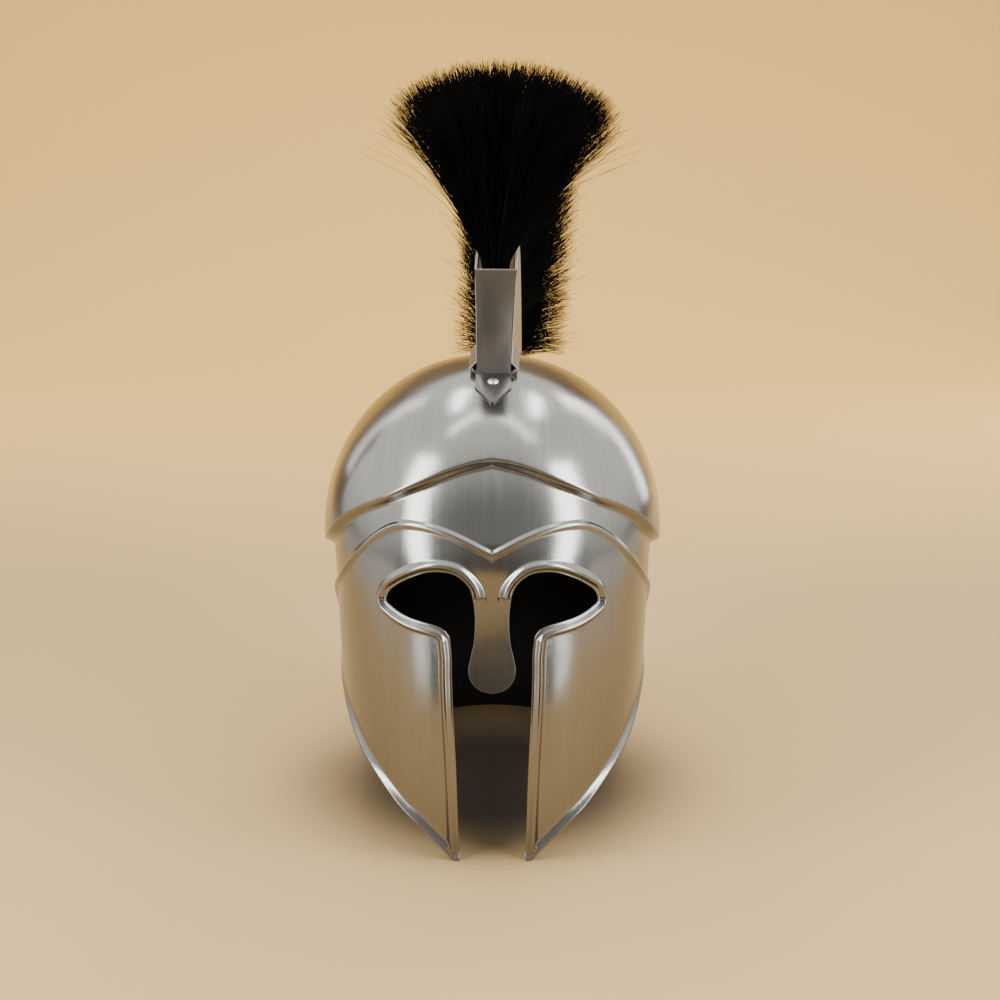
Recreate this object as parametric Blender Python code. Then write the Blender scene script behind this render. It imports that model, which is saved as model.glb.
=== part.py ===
"""A close-faced steel helmet with a hair crest, built from its separate pieces.

Metres, +Z up, and the face looks along -Y. The helmet stands on its two cheek tips and on the back of
its neck guard. The origin is on the ground, under the middle of its box.

A place on the sheet is given by its turn (degrees round from the front), its level (height) or its
climb (the way up along the sheet), and how far it stands out from the plain skull form.
"""
import math

import bmesh
import bpy
import numpy as np
from mathutils import Vector
from mathutils.geometry import delaunay_2d_cdt

# Sheet and fits
SHEET = 0.0012
CLEARANCE = 0.0003

# Skull form: half width and depths of the wall at its widest level, and the crown's rise over it
HALF_WIDTH = 0.1018
FRONT_DEPTH = 0.1190
BACK_DEPTH = 0.1180
WIDEST_LEVEL = 0.1880
CROWN_RISE = 0.1000
FRONT_FULLNESS = 2.3
BACK_FULLNESS = 2.1

# Raised work: the step round the crown, the rolled ridge round the face, the brow rib, the turned lip
STEP_OUT = 0.0060
STEP_DROP = 0.0045
RIDGE_WIDTH = 0.0080
RIDGE_HEIGHT = 0.0030
SHELF_RISE = 0.0012
RIB_WIDTH = 0.0070
RIB_HEIGHT = 0.0022
LIP_WIDTH = 0.0060
LIP_OUT = 0.0035
LIP_CURL = 1.3
KEEL_WIDTH = 0.0120
KEEL_HEIGHT = 0.0010

# Crest: it stands a little to one side, turned and leaning, as the channel is fitted by hand
CREST_SIDE = 0.0012
CREST_TURN = 1.3
CREST_LEAN = 1.4
RIM_RADIUS = 0.1790
FOOT_HALF_WIDTH = 0.0110
FOLD_HALF_WIDTH = 0.0158
FOLD_HEIGHT = 0.0076
WAIST_HALF_WIDTH = 0.0113
KNEE_HALF_WIDTH = 0.0117
RIM_HALF_WIDTH = 0.0130
STRAP_HALF_WIDTH = 0.0114
BLOCK_DEPTH_UNDER_RIM = 0.0060
RIVET_HEAD_RADIUS = 0.0036
RIVET_HEAD_RISE = 0.0018
RIVET_SHANK_RADIUS = 0.0018

# Plume
HAIR_LENGTH = 0.1240
WING_SHARE = 0.94
HAIR_ROOT_HALF_WIDTH = 0.0075
LOCK_DEPTH = 0.0070

# Colours of the plain materials, linear red, green and blue
STEEL = (0.56, 0.55, 0.53)
WOOD = (0.45, 0.30, 0.16)
HAIR = (0.012, 0.011, 0.010)

# How finely the faceted solids are cut
EDGE_SPACING = 0.0080
FILL_SPACING = 0.0150
CROWN_ROWS = 8
CREST_SECTIONS = 22

# Plan of the wall: level as a share of the widest level, the rest as shares of the sizes there
WALL_PLAN = (
    # level, half width, front depth, back depth
    (0.000, 0.832, 0.941, 1.127),
    (0.055, 0.852, 0.949, 1.076),
    (0.135, 0.886, 0.960, 1.008),
    (0.270, 0.925, 0.979, 0.949),
    (0.430, 0.955, 0.993, 0.932),
    (0.590, 0.972, 1.003, 0.949),
    (0.800, 0.985, 1.004, 0.987),
    (1.000, 1.000, 1.000, 1.000),
)

# Step round the crown: turn, rise over the widest level as a share of the crown's rise
STEP_LINE = (
    (0.0, 0.680),
    (8.0, 0.660),
    (15.0, 0.625),
    (23.0, 0.565),
    (31.0, 0.495),
    (38.0, 0.425),
    (46.0, 0.350),
    (56.5, 0.225),
    (65.0, 0.100),
    (75.0, -0.010),
    (90.0, -0.120),
    (115.0, -0.220),
    (140.0, -0.270),
    (180.0, -0.280),
)

# Edge of the face, from under the nasal, round the eye and down to the cheek tip: turn, level share
FACE_EDGE = (
    (0.0, 0.6223),
    (3.5, 0.633),
    (5.6, 0.655),
    (6.6, 0.680),
    (6.8, 0.705),
    (6.3, 0.740),
    (5.3, 0.790),
    (4.85, 0.850),
    (4.9, 0.900),
    (5.4, 0.945),
    (6.2, 0.980),
    (8.0, 1.008),
    (11.0, 1.031),
    (15.5, 1.0375),
    (19.0, 1.032),
    (23.5, 1.012),
    (29.0, 0.975),
    (32.8, 0.938),
    (34.0, 0.902),
    (31.0, 0.882),
    (25.5, 0.862),
    (20.0, 0.853),
    (16.6, 0.847),
    (14.4, 0.837),
    (13.0, 0.818),
    (12.4, 0.780),
    (12.1, 0.660),
    (11.8, 0.530),
    (11.4, 0.405),
    (11.1, 0.260),
    (11.0, 0.100),
    (10.7, 0.000),
)
# The ridge starts beside the root of the nasal, and is cut off level there
RIDGE_ROW = 9
SHELF_LINE = (
    (1.3, 0.953),
    (3.5, 0.953),
    (5.0, 0.953),
)
SHELF_END = 8.0

# Lower edge, from the cheek tip past the notch under the ear to the back of the neck guard
LOWER_EDGE = (
    # turn, level share, share of the lip's width out
    (10.7, 0.000, 1.00),
    (12.2, 0.000, 1.00),
    (16.5, 0.045, 1.00),
    (19.8, 0.077, 1.00),
    (24.8, 0.122, 1.00),
    (30.5, 0.165, 1.00),
    (34.5, 0.202, 1.00),
    (40.0, 0.250, 1.00),
    (47.2, 0.303, 1.00),
    (53.0, 0.346, 0.90),
    (60.8, 0.405, 0.70),
    (68.0, 0.447, 0.50),
    (78.0, 0.487, 0.40),
    (88.0, 0.508, 0.35),
    (94.5, 0.505, 0.35),
    (99.5, 0.470, 0.40),
    (104.0, 0.400, 0.50),
    (109.0, 0.310, 0.70),
    (115.0, 0.205, 0.90),
    (121.0, 0.110, 1.00),
    (128.0, 0.040, 1.00),
    (136.0, 0.006, 1.00),
    (144.0, 0.000, 1.00),
    (180.0, 0.000, 1.00),
)
SHARP_ROWS = (1, 22)

# Brow rib, from its dip over the nasal round the temple: turn, level share, share of the rib's height
BROW_RIB = (
    (0.0, 1.096, 1.0),
    (3.5, 1.115, 1.0),
    (9.5, 1.144, 1.0),
    (16.0, 1.165, 1.0),
    (22.5, 1.173, 1.0),
    (27.8, 1.170, 1.0),
    (33.0, 1.152, 1.0),
    (38.5, 1.114, 1.0),
    (45.2, 1.050, 1.0),
    (51.8, 0.988, 1.0),
    (60.8, 0.908, 1.0),
    (76.2, 0.808, 1.0),
    (86.0, 0.735, 0.8),
    (93.0, 0.660, 0.4),
    (97.0, 0.600, 0.0),
)

# Height of the riser's bend, as a share of the way from the crown to the channel's rim
KNEE_SHARE = 0.45

# Crest straps: angle back from the crown's top, height from the crown to the rim, half width
FRONT_STRAP = (
    # angle, height share, width share
    (-30.2, 0.00, 0.06),
    (-21.8, 0.00, 1.00),
    (-17.0, 0.00, 0.98),
    (-12.0, 0.00, 0.94),
    (-9.2, KNEE_SHARE, 0.93),
    (-11.6, 1.00, 1.14),
)
REAR_STRAP = (
    (89.0, 0.00, 0.06),
    (81.5, 0.00, 1.00),
    (77.5, 0.00, 0.98),
    (73.0, 0.00, 0.94),
    (73.0, KNEE_SHARE, 0.96),
    (73.0, 1.00, 1.14),
)
RISER_ROW = 3
FRONT_RIVET_ANGLE = -19.0
REAR_RIVET_ANGLE = 79.2

# Hair: share of the way along the crest, lean back, tilt to +X, fan to each side, share of the hair length
HAIR_FAN = (
    # along, lean, tilt, fan, length
    (0.00, -20.0, 3.0, 31.0, 1.000),
    (0.15, -8.0, 3.0, 32.0, 1.000),
    (0.35, 14.0, 4.0, 27.0, 0.930),
    (0.60, 44.0, 5.0, 19.0, 0.870),
    (0.80, 68.0, 5.0, 17.0, 0.823),
    (1.00, 84.0, 3.0, 18.0, 0.774),
)
# How the side hairs swing out: share up the hair, share of the spread that the fan gives at the tip
HAIR_SWING = (
    (0.00, 0.00),
    (0.10, 0.02),
    (0.25, 0.12),
    (0.48, 0.34),
    (0.66, 0.54),
    (0.82, 0.75),
    (1.00, 1.00),
)
HAIR_CELLS = (28, 10, 6)


def column(rows, index):
    """One column of a table."""
    return np.array([row[index] for row in rows], float)


def smooth(knots, values, at, level_end=False):
    """A smooth curve through values at rising knots, held at its ends."""
    knots, values = np.asarray(knots, float), np.asarray(values, float)
    at = np.clip(at, knots[0], knots[-1])
    gap = np.diff(knots)
    rate = np.diff(values) / gap
    middle = (rate[:-1] * gap[1:] + rate[1:] * gap[:-1]) / (gap[1:] + gap[:-1])
    slope = np.concatenate([rate[:1], middle, rate[-1:]])
    if level_end:
        slope[-1] = 0.0
    cell = np.clip(np.searchsorted(knots, at, side="right") - 1, 0, len(gap) - 1)
    t = (at - knots[cell]) / gap[cell]
    start, end = values[cell], values[cell + 1]
    pull = t * (1 - t) * gap[cell] * ((1 - t) * slope[cell] - t * slope[cell + 1])
    return start + (end - start) * t * t * (3 - 2 * t) + pull


def skin(turn, climb, out=0.0):
    """Points of the skull form, a distance out from it, for turns in radians."""
    rise = np.clip((climb - WIDEST_LEVEL) / CROWN_RISE, 0.0, math.pi / 2)
    share = np.clip(climb / WIDEST_LEVEL, 0.0, 1.0)
    levels = column(WALL_PLAN, 0)
    half_width = HALF_WIDTH * smooth(levels, column(WALL_PLAN, 1), share, True) + out
    front = FRONT_DEPTH * smooth(levels, column(WALL_PLAN, 2), share, True) + out
    back = BACK_DEPTH * smooth(levels, column(WALL_PLAN, 3), share, True) + out
    ahead = np.cos(turn) > 0
    depth = np.where(ahead, front, back)
    power = np.where(ahead, FRONT_FULLNESS, BACK_FULLNESS)
    side = np.abs(np.sin(turn)) / half_width
    reach = (side ** power + (np.abs(np.cos(turn)) / depth) ** power) ** (-1 / power) * np.cos(rise)
    level = np.minimum(climb, WIDEST_LEVEL) + (CROWN_RISE + out) * np.sin(rise)
    return np.stack([reach * np.sin(turn), -reach * np.cos(turn), level + 0 * reach], axis=-1)


# Way round the wall at its widest level, for turning a turn into a length and back
TURNS = np.radians(np.linspace(0.0, 180.0, 361))
ROUND = skin(TURNS, WIDEST_LEVEL)
GIRTHS = np.concatenate([[0.0], np.cumsum(np.linalg.norm(np.diff(ROUND, axis=0), axis=1))])


def climb_of(level):
    """The climb that reaches a level."""
    rise = np.clip((level - WIDEST_LEVEL) / CROWN_RISE, 0.0, 1.0)
    return np.minimum(level, WIDEST_LEVEL) + CROWN_RISE * np.arcsin(rise)


def step_climb(turn):
    """The climb of the step's upper edge at turns in radians."""
    share = smooth(column(STEP_LINE, 0), column(STEP_LINE, 1), np.degrees(turn), True)
    return climb_of(WIDEST_LEVEL + CROWN_RISE * share)


def chart(rows):
    """A table's rows as points in the unrolled sheet: girth, climb."""
    girth = np.interp(np.radians(column(rows, 0)), TURNS, GIRTHS)
    return np.stack([girth, climb_of(WIDEST_LEVEL * column(rows, 1))], axis=1)


def smooth_line(knots, spacing):
    """A smooth line through points, cut into even lengths."""
    way = np.concatenate([[0.0], np.cumsum(np.linalg.norm(np.diff(knots, axis=0), axis=1))])
    count = max(2, round(way[-1] / spacing))
    stations = np.linspace(0.0, way[-1], count + 1)
    return np.stack([smooth(way, knots[:, 0], stations), smooth(way, knots[:, 1], stations)], axis=1)


def joined(lines):
    """Lines laid end to end, with each shared point kept once."""
    return np.concatenate([line[:-1] for line in lines[:-1]] + [lines[-1]])


def distance_to(points, line):
    """Distance from points to a line in the unrolled sheet, and the way along it as a share."""
    start, run = line[:-1], np.diff(line, axis=0)
    length = np.maximum((run ** 2).sum(axis=1), 1e-16)
    best = np.full(len(points), 1e9)
    share = np.zeros(len(points))
    for index in range(len(run)):
        t = np.clip(((points - start[index]) @ run[index]) / length[index], 0.0, 1.0)
        gap = np.linalg.norm(points - start[index] - t[:, None] * run[index], axis=1)
        nearer = gap < best
        best = np.where(nearer, gap, best)
        share = np.where(nearer, (index + t) / len(run), share)
    return best, share


def inside(points, loop):
    """Whether each point lies within a closed loop."""
    hit = np.zeros(len(points), bool)
    for (ax, ay), (bx, by) in zip(loop, np.roll(loop, -1, axis=0)):
        if ay == by:
            continue
        crosses = (ay > points[:, 1]) != (by > points[:, 1])
        hit ^= crosses & (points[:, 0] < ax + (points[:, 1] - ay) * (bx - ax) / (by - ay))
    return hit


def beside(line, distance):
    """A line moved sideways to its left, and which of its points don't fold back over a corner."""
    tangent = np.gradient(line, axis=0)
    tangent /= np.linalg.norm(tangent, axis=1, keepdims=True)
    moved = line + distance * np.stack([-tangent[:, 1], tangent[:, 0]], axis=1)
    moved[:, 0] = np.maximum(moved[:, 0], 0.0)
    return moved, distance_to(moved, line)[0] > abs(distance) * 0.97


def swell(share):
    """A smooth bump: 0 at shares 0 and 1, and 1 halfway."""
    return 0.5 - 0.5 * np.cos(2 * math.pi * np.clip(share, 0.0, 1.0))


def sheet_lines(spacing):
    """The lines that bound and shape the half of the wall on the +X side."""
    face = smooth_line(chart(FACE_EDGE), spacing)
    knots = chart(LOWER_EDGE)
    tip_flat, neck_flat = SHARP_ROWS
    lower = joined([
        smooth_line(knots[:tip_flat + 1], spacing),
        smooth_line(knots[tip_flat:neck_flat + 1], spacing),
        smooth_line(knots[neck_flat:], spacing),
    ])
    ridge = smooth_line(chart(FACE_EDGE)[RIDGE_ROW:], spacing)
    shelf = smooth_line(chart(SHELF_LINE), spacing)
    rib = smooth_line(chart(BROW_RIB), spacing)
    turns = np.interp(np.linspace(GIRTHS[-1], 0.0, round(GIRTHS[-1] / spacing) + 1), GIRTHS, TURNS)
    foot = np.stack([np.interp(turns, TURNS, GIRTHS), step_climb(turns) - STEP_DROP], axis=1)
    return {"face": face, "lower": lower, "ridge": ridge, "shelf": shelf, "rib": rib, "foot": foot}


def relief(points, lines):
    """How far the wall stands out from the skull form at points of the unrolled sheet."""
    ridge = RIDGE_HEIGHT * swell(distance_to(points, lines["ridge"])[0] / RIDGE_WIDTH)
    cut = np.clip((points[:, 1] - lines["shelf"][0, 1]) / SHELF_RISE, 0.0, 1.0)
    shelf_end = np.interp(math.radians(SHELF_END), TURNS, GIRTHS)
    ridge = np.where(points[:, 0] < shelf_end, ridge * cut, ridge)
    knots = chart(LOWER_EDGE)
    fullness = np.interp(points[:, 0], knots[:, 0], column(LOWER_EDGE, 2))
    lip = np.clip(1 - distance_to(points, lines["lower"])[0] / LIP_WIDTH, 0.0, 1.0) ** LIP_CURL
    lip = LIP_OUT * fullness * lip
    gap, way = distance_to(points, lines["rib"])
    ways = np.linspace(0.0, 1.0, len(lines["rib"]))
    turns = np.degrees(np.interp(lines["rib"][:, 0], GIRTHS, TURNS))
    fade = np.interp(np.interp(way, ways, turns), column(BROW_RIB, 0), column(BROW_RIB, 2))
    rib = RIB_HEIGHT * fade * swell(0.5 + gap / RIB_WIDTH)
    over_rib = np.clip((points[:, 1] - chart(BROW_RIB)[0, 1]) / RIB_WIDTH, 0.0, 1.0)
    keel = KEEL_HEIGHT * np.clip(1 - points[:, 0] / KEEL_WIDTH, 0.0, 1.0) ** 2 * over_rib
    return np.maximum(np.maximum(ridge, lip), np.maximum(rib, keel))


def wall_half(lines, spacing, fill, ridge_rows, lip_rows, rib_rows):
    """The half wall in the unrolled sheet: its points, its triangles and which points are the step's foot."""
    back = lines["lower"][-1, 0]
    rise = np.linspace(lines["lower"][-1, 1], lines["foot"][0, 1], round(lines["foot"][0, 1] / fill) + 1)
    fall = np.linspace(lines["foot"][-1, 1], lines["face"][0, 1],
                       round((lines["foot"][-1, 1] - lines["face"][0, 1]) / fill) + 1)
    loop = joined([
        lines["face"],
        lines["lower"],
        np.stack([np.full(len(rise), back), rise], axis=1),
        lines["foot"],
        np.stack([np.zeros(len(fall)), fall], axis=1),
    ])[:-1]
    points = [loop]
    edges = [(i, (i + 1) % len(loop)) for i in range(len(loop))]
    count = len(loop)
    rows = [("shelf", 0.0), ("shelf", SHELF_RISE)]
    rows += [("ridge", d * RIDGE_WIDTH) for d in ridge_rows]
    rows += [("lower", d * LIP_WIDTH) for d in lip_rows]
    rows += [("rib", d * RIB_WIDTH) for d in rib_rows]
    for name, distance in rows:
        line, clear = beside(lines[name], distance) if distance else (lines[name], np.ones(len(lines[name]), bool))
        room = np.minimum(distance_to(line, lines["lower"])[0], distance_to(line, lines["face"])[0])
        keep = clear & inside(line, loop) & (room > 0.97 * max(abs(distance), 0.3 * spacing))
        keep &= distance_to(line, lines["foot"])[0] > 0.4 * spacing
        kept = np.flatnonzero(keep)
        for run in np.split(kept, np.flatnonzero(np.diff(kept) > 1) + 1):
            if len(run) > 1:
                edges += [(count + i, count + i + 1) for i in range(len(run) - 1)]
                points.append(line[run])
                count += len(run)
    placed = np.concatenate(points)
    across = np.arange(fill / 2, back, fill)
    up = np.arange(fill / 2, loop[:, 1].max(), fill * math.sqrt(3) / 2)
    grid = np.array([(x + (row % 2) * fill / 2, y) for row, y in enumerate(up) for x in across])
    grid = grid[inside(grid, loop)]
    room = np.min(np.linalg.norm(grid[:, None, :] - placed[None, :, :], axis=2), axis=1)
    grid = grid[(room > 0.6 * fill) & (grid[:, 0] < back - 0.4 * fill)]
    everything = np.concatenate([placed, grid])
    flat, _, faces, origins, _, _ = delaunay_2d_cdt(
        [Vector(p) for p in everything.tolist()], edges, [list(range(len(loop)))], 1, 1e-6, True)
    found = np.array([(p.x, p.y) for p in flat])
    centres = np.array([found[list(face)].mean(axis=0) for face in faces])
    faces = [tuple(face) for face, within in zip(faces, inside(centres, loop)) if within]
    first_foot = len(lines["face"]) - 1 + len(lines["lower"]) - 1 + len(rise) - 1
    wanted = {first_foot + index: index for index in range(len(lines["foot"]))}
    foot = [0] * len(lines["foot"])
    for index, group in enumerate(origins):
        for origin in group:
            if origin in wanted:
                foot[wanted[origin]] = index
    return found, faces, foot


def shell_half():
    """Half the helmet's outer face as chart points with their height over the skull form, and faces."""
    lines = sheet_lines(EDGE_SPACING)
    found, faces, foot = wall_half(lines, EDGE_SPACING, FILL_SPACING, (0.5, 1.0), (0.5, 1.0), (-0.5, 0.0, 0.5))
    turn = np.interp(found[:, 0], GIRTHS, TURNS)
    places = [(t, c, o) for t, c, o in zip(turn, found[:, 1], relief(found, lines))]
    rim_turns = turn[foot]
    top = WIDEST_LEVEL + CROWN_RISE * math.pi / 2
    below = foot
    for row in range(CROWN_ROWS):
        share = row / CROWN_ROWS
        here = list(range(len(places), len(places) + len(foot)))
        for t in rim_turns:
            rim = float(step_climb(t))
            places.append((t, rim + (top - rim) * share, STEP_OUT))
        for index in range(len(foot) - 1):
            faces.append((below[index], here[index], here[index + 1], below[index + 1]))
        below = here
    places.append((0.0, top, STEP_OUT))
    for index in range(len(foot) - 1):
        faces.append((below[index], len(places) - 1, below[index + 1]))
    return np.array(places), faces


def new_object(name, points, faces, colour, roughness, metallic, flat=False):
    """An object from points and faces, with its faces turned outwards and its own material."""
    mesh = bpy.data.meshes.new(name)
    mesh.from_pydata([tuple(map(float, p)) for p in points], [], faces)
    work = bmesh.new()
    work.from_mesh(mesh)
    bmesh.ops.recalc_face_normals(work, faces=work.faces)
    bmesh.ops.triangulate(work, faces=[f for f in work.faces if len(f.verts) > 4])
    work.to_mesh(mesh)
    work.free()
    if not flat:
        mesh.shade_smooth()
        mesh.set_sharp_from_angle(angle=math.radians(35))
    material = bpy.data.materials.new(name)
    material.use_nodes = True
    shader = material.node_tree.nodes["Principled BSDF"]
    shader.inputs["Base Color"].default_value = (*colour, 1.0)
    shader.inputs["Roughness"].default_value = roughness
    shader.inputs["Metallic"].default_value = metallic
    mesh.materials.append(material)
    thing = bpy.data.objects.new(name, mesh)
    bpy.context.scene.collection.objects.link(thing)
    return thing


def thick_sheet(outer, inner, faces):
    """A closed solid between an outer and an inner face with the same faces."""
    count = len(outer)
    solid = list(faces) + [tuple(count + i for i in reversed(face)) for face in faces]
    used = {}
    for face in faces:
        for a, b in zip(face, face[1:] + face[:1]):
            used[(a, b)] = True
    for a, b in used:
        if (b, a) not in used:
            solid.append((b, a, count + a, count + b))
    return np.concatenate([outer, inner]), solid


def helmet_shell():
    """Skull, face, nasal, cheek guards and neck guard: one raised sheet of steel."""
    places, faces = shell_half()
    turn, climb, out = places.T
    middle = (np.sin(turn) < 1e-5) | (climb > WIDEST_LEVEL + CROWN_RISE * math.pi / 2 - 1e-9)
    mirrored = np.arange(len(places))
    mirrored[~middle] = len(places) + np.arange((~middle).sum())
    all_faces = list(faces) + [tuple(int(mirrored[i]) for i in reversed(face)) for face in faces]

    def both_sides(shift):
        half = skin(turn, climb, out + shift)
        half[middle, 0] = 0.0
        return np.concatenate([half, half[~middle] * np.array([-1.0, 1.0, 1.0])])

    points, solid = thick_sheet(both_sides(0.0), both_sides(-SHEET), all_faces)
    return new_object("helmet_shell", points, solid, STEEL, 0.32, 1.0)


def crest_point(angle, across, radius):
    """A point of the crest: angle back from upright in degrees, way across it, radius from its centre."""
    angle = np.radians(angle)
    back = radius * np.sin(angle)
    yaw = math.radians(CREST_TURN)
    side = CREST_SIDE + (radius - CROWN_RISE) * math.tan(math.radians(CREST_LEAN))
    x = side + back * math.sin(yaw) + across * math.cos(yaw)
    y = back * math.cos(yaw) - across * math.sin(yaw)
    return np.stack([x, y, WIDEST_LEVEL + radius * np.cos(angle)], axis=-1)


def crown_radius(angle, across):
    """Radius at which the crown's outside lies, in the crest's own terms."""
    angle = np.asarray(angle, float)
    radius = np.full(np.broadcast(angle, across).shape, CROWN_RISE + STEP_OUT)
    for _ in range(8):
        x, y, z = np.moveaxis(crest_point(angle, across, radius), -1, 0)
        turn = np.arctan2(x, -y)
        reach = np.linalg.norm(skin(turn, WIDEST_LEVEL, STEP_OUT)[..., :2], axis=-1)
        height = (z - WIDEST_LEVEL) / (CROWN_RISE + STEP_OUT)
        radius = radius * (2.0 - np.sqrt((x * x + y * y) / reach ** 2 + height ** 2))
    return radius


def crest_height(angle, across, share, lift=0.0):
    """A point a share of the way from the crown to the channel's rim, and a little higher."""
    foot = crown_radius(angle, across)
    return crest_point(angle, across, foot + share * (RIM_RADIUS - foot) + lift)


def end_angle(strap, share, gap):
    """Angle of a strap's riser at a height share, with a gap kept on the channel's side."""
    rows = strap[RISER_ROW:]
    angle = np.interp(share, column(rows, 1), column(rows, 0))
    side = 1.0 if strap is FRONT_STRAP else -1.0
    foot = crown_radius(angle, 0.0)
    radius = foot + share * (RIM_RADIUS - foot)
    return angle + side * np.degrees(gap / radius)


def strap(name, rows, side):
    """A sheet strap: its pointed foot lies on the crown and its riser closes the channel's end."""
    rows = np.array(rows)
    centre = np.array([crest_height(a, 0.0, h, CLEARANCE) for a, h, _ in rows])
    plane_back = np.array([math.sin(math.radians(CREST_TURN)), math.cos(math.radians(CREST_TURN))])
    line = np.stack([centre[:, :2] @ plane_back, centre[:, 2]], axis=1)
    run = np.diff(line, axis=0)
    run /= np.linalg.norm(run, axis=1, keepdims=True)
    normal = np.stack([-run[:, 1], run[:, 0]], axis=1) * side
    joint = np.concatenate([normal[:1], normal[:-1] + normal[1:], normal[-1:]])
    joint /= np.linalg.norm(joint, axis=1, keepdims=True)
    stretch = np.concatenate([[1.0], 1 / np.sum(joint[1:-1] * normal[1:], axis=1), [1.0]])
    outward = joint * (stretch * SHEET)[:, None]
    under, over = [], []
    for (angle, height, width), push in zip(rows, outward):
        for share in (-1.0, -0.5, 0.0, 0.5, 1.0):
            point = crest_height(angle, share * width * STRAP_HALF_WIDTH, height, CLEARANCE)
            under.append(point)
            over.append(point + np.array([*(plane_back * push[0]), push[1]]))
    faces = [(5 * r + c, 5 * r + c + 1, 5 * r + c + 6, 5 * r + c + 5)
             for r in range(len(rows) - 1) for c in range(4)]
    points, solid = thick_sheet(np.array(over), np.array(under), faces)
    return new_object(name, points, solid, STEEL, 0.35, 1.0)


def crest_sweep(name, section, gap, colour, roughness, metallic):
    """A solid swept along the crest between its straps from a section of (across, height, lift) points."""
    across, share, lift = np.array(section).T
    ends = []
    for rows in (FRONT_STRAP, REAR_STRAP):
        height = RIM_RADIUS - crown_radius(rows[RISER_ROW][0], 0.0)
        ends.append(end_angle(rows, np.clip(share + lift / height, 0.0, 1.0), gap))
    front, rear = ends
    points = []
    for station in np.linspace(0.0, 1.0, CREST_SECTIONS):
        points.extend(crest_height(front + (rear - front) * station, across, share, lift))
    size = len(section)
    faces = [tuple(range(size)), tuple(range((CREST_SECTIONS - 1) * size, CREST_SECTIONS * size))]
    for row in range(CREST_SECTIONS - 1):
        for corner in range(size):
            follow = (corner + 1) % size
            faces.append((row * size + corner, row * size + follow,
                          (row + 1) * size + follow, (row + 1) * size + corner))
    return new_object(name, points, faces, colour, roughness, metallic)


def mirrored(section):
    """The other half of a section, in the order that closes its loop."""
    return [(-across, share, lift) for across, share, lift in reversed(section)]


def crest_channel():
    """The folded sheet that holds the hair: floor, V folds along its foot and two flaring sides."""
    outside = [
        (FOOT_HALF_WIDTH / 2, 0.0, CLEARANCE),
        (FOOT_HALF_WIDTH, 0.0, CLEARANCE),
        (FOLD_HALF_WIDTH, 0.0, CLEARANCE + FOLD_HEIGHT / 2),
        (WAIST_HALF_WIDTH, 0.0, CLEARANCE + FOLD_HEIGHT),
        (KNEE_HALF_WIDTH, KNEE_SHARE, 0.0),
        (RIM_HALF_WIDTH, 1.0, 0.0),
    ]
    inside_line = [
        (RIM_HALF_WIDTH - SHEET, 1.0, 0.0),
        (KNEE_HALF_WIDTH - SHEET, KNEE_SHARE, 0.0),
        (WAIST_HALF_WIDTH - SHEET, 0.0, CLEARANCE + FOLD_HEIGHT + SHEET / 2),
        (FOLD_HALF_WIDTH - 1.6 * SHEET, 0.0, CLEARANCE + FOLD_HEIGHT / 2),
        (FOOT_HALF_WIDTH - SHEET / 2, 0.0, CLEARANCE + SHEET),
        (FOOT_HALF_WIDTH / 2, 0.0, CLEARANCE + SHEET),
    ]
    under, over = (0.0, 0.0, CLEARANCE), (0.0, 0.0, CLEARANCE + SHEET)
    section = [under] + outside + inside_line + [over] + mirrored(outside + inside_line)
    return crest_sweep("crest_channel", section, CLEARANCE, STEEL, 0.34, 1.0)


def plume_block():
    """The wooden block that fills the channel and carries the hair."""
    bottom = CLEARANCE + SHEET + CLEARANCE
    low = WAIST_HALF_WIDTH - SHEET - CLEARANCE
    knee = KNEE_HALF_WIDTH - SHEET - CLEARANCE
    top = RIM_HALF_WIDTH - SHEET - 2 * CLEARANCE
    right = [
        (low / 2, 0.0, bottom),
        (low, 0.0, bottom),
        (low, 0.0, bottom + FOLD_HEIGHT),
        (knee, KNEE_SHARE, 0.0),
        (top, 1.0, -BLOCK_DEPTH_UNDER_RIM),
    ]
    section = [(0.0, 0.0, bottom)] + right + mirrored(right)
    return crest_sweep("plume_block", section, 3 * CLEARANCE, WOOD, 0.6, 0.0)


def hair_point(along, across, up):
    """A point in the plume: shares along the crest, across the fan (-1 to 1) and up the hair."""
    ways = column(HAIR_FAN, 0)
    lean, tilt, fan, length = [smooth(ways, column(HAIR_FAN, index), along) for index in (1, 2, 3, 4)]
    aside = np.radians(tilt + fan * across)
    length = HAIR_LENGTH * length * (1 - (1 - WING_SHARE) * across ** 2)
    margin = 8 * CLEARANCE
    front = end_angle(FRONT_STRAP, 1.0, margin)
    rear = end_angle(REAR_STRAP, 1.0, margin)
    root_radius = RIM_RADIUS - BLOCK_DEPTH_UNDER_RIM + CLEARANCE
    root = crest_point(front + (rear - front) * along, across * HAIR_ROOT_HALF_WIDTH, root_radius)
    sideways = length * smooth(column(HAIR_SWING, 0), column(HAIR_SWING, 1), up) * np.sin(aside)
    upward = length * up * np.cos(aside)
    yaw = math.radians(CREST_TURN)
    lean = np.radians(lean)
    x = upward * np.sin(lean) * math.sin(yaw) + sideways * math.cos(yaw)
    y = upward * np.sin(lean) * math.cos(yaw) - sideways * math.sin(yaw)
    return root + np.stack([x, y, upward * np.cos(lean)], axis=-1)


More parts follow.
